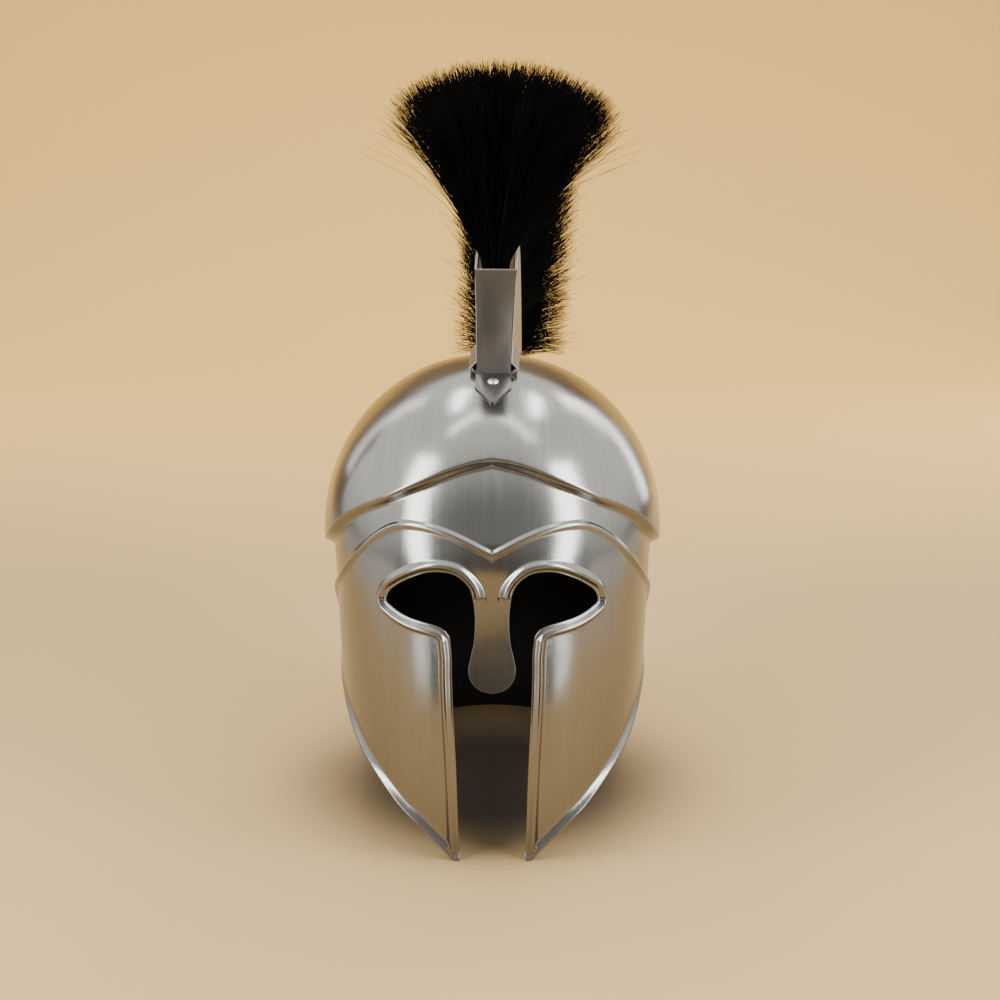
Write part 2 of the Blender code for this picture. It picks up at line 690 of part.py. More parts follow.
def plume():
    """The hair's outer form in locks: the skin of a block of hair, tufted at its tips and sides."""
    cells = HAIR_CELLS
    index, faces = {}, []

    def corner(*place):
        return index.setdefault(place, len(index))

    for axis in range(3):
        one, two = [a for a in range(3) if a != axis]
        for side in (0, cells[axis]):
            for u in range(cells[one]):
                for v in range(cells[two]):
                    face = []
                    for du, dv in ((0, 0), (1, 0), (1, 1), (0, 1)):
                        place = [0, 0, 0]
                        place[axis], place[one], place[two] = side, u + du, v + dv
                        face.append(corner(*place))
                    faces.append(tuple(face))
    i, j, k = np.array(list(index)).T
    up = k / cells[2]
    lock = LOCK_DEPTH / HAIR_LENGTH
    along = 0.5 + (i / cells[0] - 0.5) * (1 - 0.3 * lock * up * (j % 2))
    across = (2 * j / cells[1] - 1) * (1 - lock * up * (i % 2))
    points = hair_point(along, across, up * (1 - lock * up * ((i + j) % 2)))
    return new_object("plume", points, faces, HAIR, 0.7, 0.0, flat=True)


def rivet(name, angle):
    """A rivet: low domed head over the strap, shank through strap and shell, flat burr inside."""
    head_base = CLEARANCE + SHEET + CLEARANCE
    burr_top = -SHEET - 3 * CLEARANCE
    burr = burr_top - SHEET
    profile = [
        (0.0, head_base + RIVET_HEAD_RISE),
        (0.55 * RIVET_HEAD_RADIUS, head_base + 0.82 * RIVET_HEAD_RISE),
        (0.88 * RIVET_HEAD_RADIUS, head_base + 0.45 * RIVET_HEAD_RISE),
        (RIVET_HEAD_RADIUS, head_base + 0.12 * RIVET_HEAD_RISE),
        (RIVET_HEAD_RADIUS, head_base),
        (RIVET_SHANK_RADIUS, head_base),
        (RIVET_SHANK_RADIUS, burr_top),
        (0.8 * RIVET_HEAD_RADIUS, burr_top),
        (0.8 * RIVET_HEAD_RADIUS, burr),
        (0.0, burr),
    ]
    base, axes = rivet_frame(angle)
    sides = 16
    points, faces, rings = [], [], []
    for radius, height in profile:
        if radius == 0.0:
            rings.append([len(points)] * sides)
            points.append(base + axes[2] * height)
            continue
        rings.append(list(range(len(points), len(points) + sides)))
        for k in range(sides):
            t = 2 * math.pi * k / sides
            points.append(base + radius * (math.cos(t) * axes[0] + math.sin(t) * axes[1]) + axes[2] * height)
    for upper, lower in zip(rings, rings[1:]):
        for k in range(sides):
            loop = [upper[k], upper[(k + 1) % sides], lower[(k + 1) % sides], lower[k]]
            faces.append(tuple(dict.fromkeys(loop)))
    return new_object(name, points, faces, STEEL, 0.3, 1.0)


def rivet_frame(angle):
    """Foot point on the crown and three axes of a rivet, the last one outwards."""
    base = crest_height(angle, 0.0, 0.0)
    ahead = crest_height(angle + 0.5, 0.0, 0.0) - base
    aside = crest_height(angle, 0.001, 0.0) - crest_height(angle, -0.001, 0.0)
    ahead, aside = ahead / np.linalg.norm(ahead), aside / np.linalg.norm(aside)
    outward = np.cross(aside, ahead)
    outward *= np.sign(outward @ (base - np.array([0.0, 0.0, WIDEST_LEVEL])))
    outward /= np.linalg.norm(outward)
    aside = np.cross(ahead, outward)
    return base, (ahead, aside, outward)


def drill(things, angle):
    """Cuts a rivet's hole through the given pieces."""
    base, axes = rivet_frame(angle)
    work = bmesh.new()
    radius = RIVET_SHANK_RADIUS + CLEARANCE
    bmesh.ops.create_cone(work, cap_ends=True, segments=12, radius1=radius, radius2=radius, depth=12 * SHEET)
    mesh = bpy.data.meshes.new("rivet_hole")
    work.to_mesh(mesh)
    work.free()
    cutter = bpy.data.objects.new("rivet_hole", mesh)
    cutter.rotation_mode = "QUATERNION"
    cutter.rotation_quaternion = Vector(axes[2]).to_track_quat("Z", "Y")
    cutter.location = Vector(base)
    cutter.hide_render = True
    cutter.display_type = "WIRE"
    bpy.context.scene.collection.objects.link(cutter)
    for thing in things:
        cut = thing.modifiers.new("rivet_hole", "BOOLEAN")
        cut.operation = "DIFFERENCE"
        cut.solver = "EXACT"
        cut.object = cutter
    return cutter


def stand_on_origin(pieces):
    """Moves the pieces together until the origin is on the ground under the middle of their box."""
    corners = np.concatenate([[v.co for v in piece.data.vertices] for piece in pieces if not piece.hide_render])
    middle = (corners.min(axis=0) + corners.max(axis=0)) / 2
    for piece in pieces:
        piece.location -= Vector((middle[0], middle[1], 0.0))


def main():
    for thing in list(bpy.data.objects):
        bpy.data.objects.remove(thing, do_unlink=True)
    shell = helmet_shell()
    front = strap("front_strap", FRONT_STRAP, 1.0)
    rear = strap("rear_strap", REAR_STRAP, -1.0)
    pieces = [shell, front, rear, crest_channel(), plume_block(), plume()]
    pieces += [rivet("front_rivet", FRONT_RIVET_ANGLE), rivet("rear_rivet", REAR_RIVET_ANGLE)]
    pieces.append(drill((shell, front), FRONT_RIVET_ANGLE))
    pieces.append(drill((shell, rear), REAR_RIVET_ANGLE))
    stand_on_origin(pieces)
    bpy.context.view_layer.update()


main()
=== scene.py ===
"""Looks of a close-faced steel helmet with a black hair crest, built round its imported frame.

The steel sheet is modelled again in fine mesh from the same sizes as the frame's solid, the crest's
sheet metal and wood are the frame's own solids with their edges eased, and the hair is made strand by
strand. Metres, +Z up, and the face looks along -Y.
"""
import math

import bmesh
import bpy
import numpy as np
from mathutils import Matrix, Vector
from mathutils.geometry import delaunay_2d_cdt
from mathutils.kdtree import KDTree


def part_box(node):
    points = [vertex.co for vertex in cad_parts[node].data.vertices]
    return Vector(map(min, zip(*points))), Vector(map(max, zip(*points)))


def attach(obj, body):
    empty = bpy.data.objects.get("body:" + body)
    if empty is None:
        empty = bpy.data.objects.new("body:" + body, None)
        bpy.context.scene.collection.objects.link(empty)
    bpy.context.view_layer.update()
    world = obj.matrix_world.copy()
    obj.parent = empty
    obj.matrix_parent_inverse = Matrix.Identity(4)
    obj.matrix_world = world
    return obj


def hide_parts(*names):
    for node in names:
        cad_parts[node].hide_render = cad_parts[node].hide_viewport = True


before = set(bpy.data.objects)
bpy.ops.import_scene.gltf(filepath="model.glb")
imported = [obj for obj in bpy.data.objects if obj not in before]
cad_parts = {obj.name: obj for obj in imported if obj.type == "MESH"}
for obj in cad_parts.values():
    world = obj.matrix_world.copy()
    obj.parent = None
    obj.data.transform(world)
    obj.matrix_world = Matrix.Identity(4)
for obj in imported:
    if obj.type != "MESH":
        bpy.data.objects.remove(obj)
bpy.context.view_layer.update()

# Sheet
SHEET = 0.0012

# Skull form: half width and depths of the wall at its widest level, and the crown's rise over it
HALF_WIDTH = 0.1018
FRONT_DEPTH = 0.1190
BACK_DEPTH = 0.1180
WIDEST_LEVEL = 0.1880
CROWN_RISE = 0.1000
FRONT_FULLNESS = 2.3
BACK_FULLNESS = 2.1

# Raised work
STEP_OUT = 0.0060
STEP_DROP = 0.0045
STEP_ROUND = 0.10
STEP_ROLL = 0.6
RIDGE_WIDTH = 0.0080
RIDGE_HEIGHT = 0.0030
SHELF_RISE = 0.0012
RIB_WIDTH = 0.0070
RIB_HEIGHT = 0.0022
LIP_WIDTH = 0.0060
LIP_OUT = 0.0035
LIP_CURL = 1.3
KEEL_WIDTH = 0.0120
KEEL_HEIGHT = 0.0010

# Crest
CREST_SIDE = 0.0012
CREST_TURN = 1.3
CREST_LEAN = 1.4
HAIR_ROOT_RADIUS = 0.1733
HAIR_FRONT_ANGLE = -10.8
HAIR_REAR_ANGLE = 72.2
HAIR_ROOT_HALF_WIDTH = 0.0075
HAIR_LENGTH = 0.1240
WING_SHARE = 0.94

# How finely the sheet is cut
EDGE_SPACING = 0.0024
FILL_SPACING = 0.0032
CROWN_ROWS = 44
RIM_ROUND = 0.35
RIM_ANGLES = tuple(math.radians(angle) for angle in (30.0, 65.0, 90.0, 115.0, 150.0))

# How far the edges of the crest's sheet, the straps and the wood are rounded off
SHEET_EASE = 0.0004
STRAP_EASE = 0.00055
WOOD_EASE = 0.0004

# Table, and how far below the helmet it lies so that the two don't share a plane
FLOOR_GAP = 0.0004
TABLE_FRONT = -0.365
TABLE_BACK = 0.90
FRONT_TABLE = (-1.60, -0.62)
FRONT_TABLE_HALF_WIDTH = 0.8
TABLE_HALF_WIDTH = 1.6
SWEEP_RADIUS = 0.5
SWEEP_TOP = 1.0
# Paper: where its tan gives way to grey at each side, how that widens towards the back, and how far from
# the middle of the helmet the painted shadow round it is darkest and where it ends
PAPER_EDGE = (0.40, 0.60)
PAPER_FLARE = 0.18
PAPER_PAINTED_SHADOW_CENTRE = (0.0, -0.06, 0.0)
PAPER_PAINTED_SHADOW = (0.05, 0.165)

# Softboxes, each a strip between two directions seen from the helmet: name, azimuth and height of its ends
# in degrees (0 faces the camera, 90 is +X), distance, width, radiance
SOFTBOXES = (
    ("side_left", (-44.0, -8.0), (-80.0, 57.0), 1.35, 0.32, 14.0),
    ("side_right", (43.0, -8.0), (78.0, 54.0), 1.35, 0.34, 14.0),
    ("low_left", (-46.0, -34.0), (-49.0, -12.0), 1.35, 0.20, 4.0),
    ("low_right", (46.0, -34.0), (49.0, -12.0), 1.35, 0.24, 5.0),
    ("rear_left", (-137.0, 0.0), (-148.0, 38.0), 1.20, 0.16, 2.6),
    ("rear_right", (135.0, -8.0), (149.0, 38.0), 1.20, 0.18, 7.0),
    ("spot_left", (-165.0, 49.0), (-150.0, 63.0), 1.40, 0.11, 18.0),
    ("spot_right", (156.0, 49.0), (140.0, 63.0), 1.40, 0.11, 18.0),
    ("arc_left", (-176.0, 72.0), (-105.0, 71.0), 1.35, 0.05, 14.0),
    ("arc_right", (176.0, 72.0), (90.0, 71.0), 1.35, 0.05, 14.0),
)
LIGHTS_AIM = (0.0, -0.07, 0.25)
# Room: radiance of its walls in front and behind, and the same below the table's level
ROOM_WALLS = (0.55, 2.15)
ROOM_GROUND = (0.16, 1.2)

# Bristles: how many, how thick at root and tip, and the shares of their length where they are cut
HAIR_BUNDLES = 4
HAIRS_IN_BUNDLE = 5800
HAIR_CLUMPS = 420
HAIR_ROOT_RADIUS_OF_ONE = 0.00020
HAIR_TIP_RADIUS_OF_ONE = 0.00009
HAIR_STATIONS = (0.0, 0.12, 0.30, 0.52, 0.76, 1.0)
# How loose the hairs are: tail of the spread (low has more strays), its size along and across, tip wander
LOOSE_TAIL = 2.6
LOOSE_SPREAD = (0.010, 0.050)
HAIR_WANDER = 0.0009
# Fur at the back: how much wider it stands than the solid, from which share of the crest and over how much
FUR_FLUFF = 0.26
FUR_START = 0.45
FUR_BLEND = 0.25
# How far the last hairs sag at their tips, and from which share of the crest
FUR_SAG = 0.018
FUR_SAG_START = 0.75

# Plan of the wall: level as a share of the widest level, the rest as shares of the sizes there
WALL_PLAN = (
    # level, half width, front depth, back depth
    (0.000, 0.832, 0.941, 1.127),
    (0.055, 0.852, 0.949, 1.076),
    (0.135, 0.886, 0.960, 1.008),
    (0.270, 0.925, 0.979, 0.949),
    (0.430, 0.955, 0.993, 0.932),
    (0.590, 0.972, 1.003, 0.949),
    (0.800, 0.985, 1.004, 0.987),
    (1.000, 1.000, 1.000, 1.000),
)

# Step round the crown: turn in degrees, rise over the widest level as a share of the crown's rise
STEP_LINE = (
    (0.0, 0.680),
    (8.0, 0.660),
    (15.0, 0.625),
    (23.0, 0.565),
    (31.0, 0.495),
    (38.0, 0.425),
    (46.0, 0.350),
    (56.5, 0.225),
    (65.0, 0.100),
    (75.0, -0.010),
    (90.0, -0.120),
    (115.0, -0.220),
    (140.0, -0.270),
    (180.0, -0.280),
)

# Edge of the face, from under the nasal, round the eye and down to the cheek tip: turn, level share
FACE_EDGE = (
    (0.0, 0.6223),
    (3.5, 0.633),
    (5.6, 0.655),
    (6.6, 0.680),
    (6.8, 0.705),
    (6.3, 0.740),
    (5.3, 0.790),
    (4.85, 0.850),
    (4.9, 0.900),
    (5.4, 0.945),
    (6.2, 0.980),
    (8.0, 1.008),
    (11.0, 1.031),
    (15.5, 1.0375),
    (19.0, 1.032),
    (23.5, 1.012),
    (29.0, 0.975),
    (32.8, 0.938),
    (34.0, 0.902),
    (31.0, 0.882),
    (25.5, 0.862),
    (20.0, 0.853),
    (16.6, 0.847),
    (14.4, 0.837),
    (13.0, 0.818),
    (12.4, 0.780),
    (12.1, 0.660),
    (11.8, 0.530),
    (11.4, 0.405),
    (11.1, 0.260),
    (11.0, 0.100),
    (10.7, 0.000),
)
# The ridge starts beside the root of the nasal, and is cut off level there
RIDGE_ROW = 9
SHELF_LINE = (
    (1.3, 0.953),
    (3.5, 0.953),
    (5.0, 0.953),
)
SHELF_END = 8.0

# Lower edge, from the cheek tip past the notch under the ear to the back of the neck guard
LOWER_EDGE = (
    # turn, level share, share of the lip's width out
    (10.7, 0.000, 1.00),
    (12.2, 0.000, 1.00),
    (16.5, 0.045, 1.00),
    (19.8, 0.077, 1.00),
    (24.8, 0.122, 1.00),
    (30.5, 0.165, 1.00),
    (34.5, 0.202, 1.00),
    (40.0, 0.250, 1.00),
    (47.2, 0.303, 1.00),
    (53.0, 0.346, 0.90),
    (60.8, 0.405, 0.70),
    (68.0, 0.447, 0.50),
    (78.0, 0.487, 0.40),
    (88.0, 0.508, 0.35),
    (94.5, 0.505, 0.35),
    (99.5, 0.470, 0.40),
    (104.0, 0.400, 0.50),
    (109.0, 0.310, 0.70),
    (115.0, 0.205, 0.90),
    (121.0, 0.110, 1.00),
    (128.0, 0.040, 1.00),
    (136.0, 0.006, 1.00),
    (144.0, 0.000, 1.00),
    (180.0, 0.000, 1.00),
)
SHARP_ROWS = (1, 22)

# Brow rib, from its dip over the nasal round the temple: turn, level share, share of the rib's height
BROW_RIB = (
    (0.0, 1.096, 1.0),
    (3.5, 1.115, 1.0),
    (9.5, 1.144, 1.0),
    (16.0, 1.165, 1.0),
    (22.5, 1.173, 1.0),
    (27.8, 1.170, 1.0),
    (33.0, 1.152, 1.0),
    (38.5, 1.114, 1.0),
    (45.2, 1.050, 1.0),
    (51.8, 0.988, 1.0),
    (60.8, 0.908, 1.0),
    (76.2, 0.808, 1.0),
    (86.0, 0.735, 0.8),
    (93.0, 0.660, 0.4),
    (97.0, 0.600, 0.0),
)

# Hair: share of the way along the crest, lean back, tilt to +X, fan to each side, share of the hair length
HAIR_FAN = (
    # along, lean, tilt, fan, length
    (0.00, -20.0, 3.0, 31.0, 1.000),
    (0.15, -8.0, 3.0, 32.0, 1.000),
    (0.35, 14.0, 4.0, 27.0, 0.930),
    (0.60, 44.0, 5.0, 19.0, 0.870),
    (0.80, 68.0, 5.0, 17.0, 0.823),
    (1.00, 84.0, 3.0, 18.0, 0.774),
)
# How the side hairs swing out: share up the hair, share of the spread that the fan gives at the tip
HAIR_SWING = (
    (0.00, 0.00),
    (0.10, 0.02),
    (0.25, 0.12),
    (0.48, 0.34),
    (0.66, 0.54),
    (0.82, 0.75),
    (1.00, 1.00),
)

# The part's own origin lies behind the skull's middle by this much
BACK_EDGE = BACK_DEPTH * WALL_PLAN[0][3] + LIP_OUT
MIDDLE_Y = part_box("helmet_shell")[1][1] - BACK_EDGE

# The photograph's camera: how far it looks down, its distance and aim, and the frame's width at the aim
CAMERA_DOWN = 19.0
CAMERA_DISTANCE = 1.750
CAMERA_AIM = (0.00484, MIDDLE_Y, 0.2014)
FRAME_WIDTH = 0.645
SENSOR_WIDTH = 36.0


def column(rows, index):
    """One column of a table."""
    return np.array([row[index] for row in rows], float)


def smooth(knots, values, at, level_end=False):
    """A smooth curve through values at rising knots, held at its ends."""
    knots, values = np.asarray(knots, float), np.asarray(values, float)
    at = np.clip(at, knots[0], knots[-1])
    gap = np.diff(knots)
    rate = np.diff(values) / gap
    middle = (rate[:-1] * gap[1:] + rate[1:] * gap[:-1]) / (gap[1:] + gap[:-1])
    slope = np.concatenate([rate[:1], middle, rate[-1:]])
    if level_end:
        slope[-1] = 0.0
    cell = np.clip(np.searchsorted(knots, at, side="right") - 1, 0, len(gap) - 1)
    t = (at - knots[cell]) / gap[cell]
    start, end = values[cell], values[cell + 1]
    pull = t * (1 - t) * gap[cell] * ((1 - t) * slope[cell] - t * slope[cell + 1])
    return start + (end - start) * t * t * (3 - 2 * t) + pull


def skin(turn, climb, out=0.0):
    """Points of the skull form, a distance out from it, for turns in radians."""
    rise = np.clip((climb - WIDEST_LEVEL) / CROWN_RISE, 0.0, math.pi / 2)
    share = np.clip(climb / WIDEST_LEVEL, 0.0, 1.0)
    levels = column(WALL_PLAN, 0)
    half_width = HALF_WIDTH * smooth(levels, column(WALL_PLAN, 1), share, True) + out
    front = FRONT_DEPTH * smooth(levels, column(WALL_PLAN, 2), share, True) + out
    back = BACK_DEPTH * smooth(levels, column(WALL_PLAN, 3), share, True) + out
    ahead = np.cos(turn) > 0
    depth = np.where(ahead, front, back)
    power = np.where(ahead, FRONT_FULLNESS, BACK_FULLNESS)
    side = np.abs(np.sin(turn)) / half_width
    reach = (side ** power + (np.abs(np.cos(turn)) / depth) ** power) ** (-1 / power) * np.cos(rise)
    level = np.minimum(climb, WIDEST_LEVEL) + (CROWN_RISE + out) * np.sin(rise)
    return np.stack([reach * np.sin(turn), MIDDLE_Y - reach * np.cos(turn), level + 0 * reach], axis=-1)


# Way round the wall at its widest level, for turning a turn into a length and back
TURNS = np.radians(np.linspace(0.0, 180.0, 361))
ROUND = skin(TURNS, WIDEST_LEVEL)
GIRTHS = np.concatenate([[0.0], np.cumsum(np.linalg.norm(np.diff(ROUND, axis=0), axis=1))])
TOP = WIDEST_LEVEL + CROWN_RISE * math.pi / 2


def climb_of(level):
    """The climb that reaches a level."""
    rise = np.clip((level - WIDEST_LEVEL) / CROWN_RISE, 0.0, 1.0)
    return np.minimum(level, WIDEST_LEVEL) + CROWN_RISE * np.arcsin(rise)


def step_climb(turn):
    """The climb of the step's upper edge at turns in radians."""
    share = smooth(column(STEP_LINE, 0), column(STEP_LINE, 1), np.degrees(turn), True)
    return climb_of(WIDEST_LEVEL + CROWN_RISE * share)


def chart(rows):
    """A table's rows as points in the unrolled sheet: girth, climb."""
    girth = np.interp(np.radians(column(rows, 0)), TURNS, GIRTHS)
    return np.stack([girth, climb_of(WIDEST_LEVEL * column(rows, 1))], axis=1)


def smooth_line(knots, spacing):
    """A smooth line through points, cut into even lengths."""
    way = np.concatenate([[0.0], np.cumsum(np.linalg.norm(np.diff(knots, axis=0), axis=1))])
    count = max(2, round(way[-1] / spacing))
    stations = np.linspace(0.0, way[-1], count + 1)
    return np.stack([smooth(way, knots[:, 0], stations), smooth(way, knots[:, 1], stations)], axis=1)


def joined(lines):
    """Lines laid end to end, with each shared point kept once."""
    return np.concatenate([line[:-1] for line in lines[:-1]] + [lines[-1]])


def distance_to(points, line):
    """Distance from points to a line in the unrolled sheet, and the way along it as a share."""
    start, run = line[:-1], np.diff(line, axis=0)
    length = np.maximum((run ** 2).sum(axis=1), 1e-16)
    best = np.full(len(points), 1e9)
    share = np.zeros(len(points))
    for index in range(len(run)):
        t = np.clip(((points - start[index]) @ run[index]) / length[index], 0.0, 1.0)
        gap = np.linalg.norm(points - start[index] - t[:, None] * run[index], axis=1)
        nearer = gap < best
        best = np.where(nearer, gap, best)
        share = np.where(nearer, (index + t) / len(run), share)
    return best, share


def inside(points, loop):
    """Whether each point lies within a closed loop."""
    hit = np.zeros(len(points), bool)
    for (ax, ay), (bx, by) in zip(loop, np.roll(loop, -1, axis=0)):
        if ay == by:
            continue
        crosses = (ay > points[:, 1]) != (by > points[:, 1])
        hit ^= crosses & (points[:, 0] < ax + (points[:, 1] - ay) * (bx - ax) / (by - ay))
    return hit


def beside(line, distance):
    """A line moved sideways to its left, and which of its points don't fold back over a corner."""
    tangent = np.gradient(line, axis=0)
    tangent /= np.linalg.norm(tangent, axis=1, keepdims=True)
    moved = line + distance * np.stack([-tangent[:, 1], tangent[:, 0]], axis=1)
    moved[:, 0] = np.maximum(moved[:, 0], 0.0)
    return moved, distance_to(moved, line)[0] > abs(distance) * 0.97


def swell(share):
    """A smooth bump: 0 at shares 0 and 1, and 1 halfway."""
    return 0.5 - 0.5 * np.cos(2 * math.pi * np.clip(share, 0.0, 1.0))


def sheet_lines(spacing):
    """The lines that bound and shape the half of the wall on the +X side."""
    face = smooth_line(chart(FACE_EDGE), spacing)
    knots = chart(LOWER_EDGE)
    tip_flat, neck_flat = SHARP_ROWS
    lower = joined([
        smooth_line(knots[:tip_flat + 1], spacing),
        smooth_line(knots[tip_flat:neck_flat + 1], spacing),
        smooth_line(knots[neck_flat:], spacing),
    ])
    ridge = smooth_line(chart(FACE_EDGE)[RIDGE_ROW:], spacing)
    shelf = smooth_line(chart(SHELF_LINE), spacing)
    rib = smooth_line(chart(BROW_RIB), spacing)
    turns = np.interp(np.linspace(GIRTHS[-1], 0.0, round(GIRTHS[-1] / spacing) + 1), GIRTHS, TURNS)
    foot = np.stack([np.interp(turns, TURNS, GIRTHS), step_climb(turns) - 1.5 * STEP_DROP], axis=1)
    return {"face": face, "lower": lower, "ridge": ridge, "shelf": shelf, "rib": rib, "foot": foot}


def soft_ramp(share):
    """A ramp from 0 to 1 that is steeper in its middle, with rounded ends."""
    def rounded(x):
        return (x + np.sqrt(x * x + STEP_ROUND ** 2)) / 2
    ramp = np.clip(rounded(share) - rounded(share - 1), 0.0, 1.0)
    return ramp + STEP_ROLL * (ramp * ramp * (3 - 2 * ramp) - ramp)


def relief(points, lines):
    """How far the sheet stands out from the skull form at points of the unrolled sheet."""
    ridge = RIDGE_HEIGHT * swell(distance_to(points, lines["ridge"])[0] / RIDGE_WIDTH)
    cut = np.clip((points[:, 1] - lines["shelf"][0, 1]) / SHELF_RISE, 0.0, 1.0)
    shelf_end = np.interp(math.radians(SHELF_END), TURNS, GIRTHS)
    ridge = np.where(points[:, 0] < shelf_end, ridge * cut, ridge)
    knots = chart(LOWER_EDGE)
    fullness = np.interp(points[:, 0], knots[:, 0], column(LOWER_EDGE, 2))
    lip = np.clip(1 - distance_to(points, lines["lower"])[0] / LIP_WIDTH, 0.0, 1.0) ** LIP_CURL
    lip = LIP_OUT * fullness * lip
    gap, way = distance_to(points, lines["rib"])
    ways = np.linspace(0.0, 1.0, len(lines["rib"]))
    turns = np.degrees(np.interp(lines["rib"][:, 0], GIRTHS, TURNS))
    fade = np.interp(np.interp(way, ways, turns), column(BROW_RIB, 0), column(BROW_RIB, 2))
    rib = RIB_HEIGHT * fade * swell(0.5 + gap / RIB_WIDTH)
    over_rib = np.clip((points[:, 1] - chart(BROW_RIB)[0, 1]) / RIB_WIDTH, 0.0, 1.0)
    keel = KEEL_HEIGHT * np.clip(1 - points[:, 0] / KEEL_WIDTH, 0.0, 1.0) ** 2 * over_rib
    out = np.maximum(np.maximum(ridge, lip), np.maximum(rib, keel))
    turn = np.interp(points[:, 0], GIRTHS, TURNS)
    ramp = soft_ramp((points[:, 1] - step_climb(turn)) / STEP_DROP + 1)
    return out * (1 - ramp) + STEP_OUT * ramp


def wall_half(lines, spacing, fill, ridge_rows, lip_rows, rib_rows):
    """Triangles of the half wall in the unrolled sheet, and which points are the step's foot."""
    back = lines["lower"][-1, 0]
    rise = np.linspace(lines["lower"][-1, 1], lines["foot"][0, 1], round(lines["foot"][0, 1] / fill) + 1)
    fall = np.linspace(lines["foot"][-1, 1], lines["face"][0, 1],
                       round((lines["foot"][-1, 1] - lines["face"][0, 1]) / fill) + 1)
    loop = joined([
        lines["face"],
        lines["lower"],
        np.stack([np.full(len(rise), back), rise], axis=1),
        lines["foot"],
        np.stack([np.zeros(len(fall)), fall], axis=1),
    ])[:-1]
    points = [loop]
    edges = [(i, (i + 1) % len(loop)) for i in range(len(loop))]
    count = len(loop)
    rows = [("shelf", share * SHELF_RISE) for share in (0.0, 0.5, 1.0)]
    rows += [("ridge", d * RIDGE_WIDTH) for d in ridge_rows]
    rows += [("lower", d * LIP_WIDTH) for d in lip_rows]
    rows += [("rib", d * RIB_WIDTH) for d in rib_rows]
    for name, distance in rows:
        line, clear = lines[name], np.ones(len(lines[name]), bool)
        if distance:
            line, clear = beside(line, distance)
        room = np.minimum(distance_to(line, lines["lower"])[0], distance_to(line, lines["face"])[0])
        keep = clear & inside(line, loop) & (room > 0.97 * max(abs(distance), 0.3 * spacing))
        keep &= distance_to(line, lines["foot"])[0] > 0.4 * spacing
        kept = np.flatnonzero(keep)
        for run in np.split(kept, np.flatnonzero(np.diff(kept) > 1) + 1):
            if len(run) > 1:
                edges += [(count + i, count + i + 1) for i in range(len(run) - 1)]
                points.append(line[run])
                count += len(run)
    placed = np.concatenate(points)
    near = KDTree(len(placed))
    for index, (x, y) in enumerate(placed):
        near.insert((x, y, 0.0), index)
    near.balance()
    across = np.arange(fill / 2, back, fill)
    up = np.arange(fill / 2, loop[:, 1].max(), fill * math.sqrt(3) / 2)
    grid = np.array([(x + (row % 2) * fill / 2, y) for row, y in enumerate(up) for x in across])
    grid = grid[inside(grid, loop)]
    room = np.array([near.find((x, y, 0.0))[2] for x, y in grid])
    grid = grid[(room > 0.6 * fill) & (grid[:, 0] < back - 0.4 * fill)]
    everything = np.concatenate([placed, grid])
    flat, _, faces, origins, _, _ = delaunay_2d_cdt(
        [Vector(p) for p in everything.tolist()], edges, [list(range(len(loop)))], 1, 1e-6, True)
    found = np.array([(p.x, p.y) for p in flat])
    centres = np.array([found[list(face)].mean(axis=0) for face in faces])
    faces = [tuple(face) for face, within in zip(faces, inside(centres, loop)) if within]
    first_foot = len(lines["face"]) - 1 + len(lines["lower"]) - 1 + len(rise) - 1
    wanted = {first_foot + index: index for index in range(len(lines["foot"]))}
    foot = [0] * len(lines["foot"])
    for index, group in enumerate(origins):
        for origin in group:
            if origin in wanted:
                foot[wanted[origin]] = index
    return found, faces, foot


def shell_half():
    """Half the helmet's outer face: chart points and faces."""
    lines = sheet_lines(EDGE_SPACING)
    ridge_rows = [0.125, 0.25, 0.375, 0.5, 0.625, 0.75, 0.875, 1.0]
    lip_rows = [0.16, 0.33, 0.5, 0.7, 1.0]
    rib_rows = [-0.5, -0.34, -0.17, 0.0, 0.17, 0.34, 0.5]
    found, faces, foot = wall_half(lines, EDGE_SPACING, FILL_SPACING, ridge_rows, lip_rows, rib_rows)
    points = list(map(tuple, found))
    girths = found[foot, 0]
    climbs = step_climb(np.interp(girths, GIRTHS, TURNS))
    shares = [-0.2, -0.05, 0.08, 0.2, 0.35, 0.5, 0.65, 0.8, 0.92, 1.05, 1.2, 1.45]
    rows = [climbs + STEP_DROP * (share - 1) for share in shares]
    last = rows[-1]
    rows += [last + (TOP - last) * row / CROWN_ROWS for row in range(1, CROWN_ROWS)]
    below = foot
    for row in rows:
        here = list(range(len(points), len(points) + len(foot)))
        points += list(zip(girths, row))
        for index in range(len(foot) - 1):
            faces.append((below[index], here[index], here[index + 1], below[index + 1]))
        below = here
    points.append((0.0, TOP))
    for index in range(len(foot) - 1):
        faces.append((below[index], len(points) - 1, below[index + 1]))
    return np.array(points), faces, lines


def sheet_points(points, lines, shift):
    """Places and outward directions of chart points, with the face shifted out."""
    small = 0.0002

    def place(girth, climb):
        at = np.stack([np.abs(girth), climb], axis=1)
        turn = np.interp(at[:, 0], GIRTHS, TURNS)
        spot = skin(turn, climb, relief(at, lines) + shift)
        spot[:, 0] *= np.where(girth < 0, -1.0, 1.0)
        return spot

    girth, climb = points.T
    across = place(np.minimum(girth + small, GIRTHS[-1]), climb) - place(girth - small, climb)
    upper = np.minimum(climb + small, TOP)
    up = place(girth, upper) - place(girth, upper - 2 * small)
    normal = np.cross(across, up)
    size = np.linalg.norm(normal, axis=1, keepdims=True)
    top = climb > TOP - small
    normal = np.where(top[:, None], np.array([0.0, 0.0, 1.0]), normal / np.maximum(size, 1e-12))
    middle = (girth < 1e-6) | (girth > GIRTHS[-1] - 1e-6) | top
    normal[middle, 0] = 0.0
    normal /= np.linalg.norm(normal, axis=1, keepdims=True)
    spot = place(girth, climb)
    spot[middle, 0] = 0.0
    return spot, normal, middle


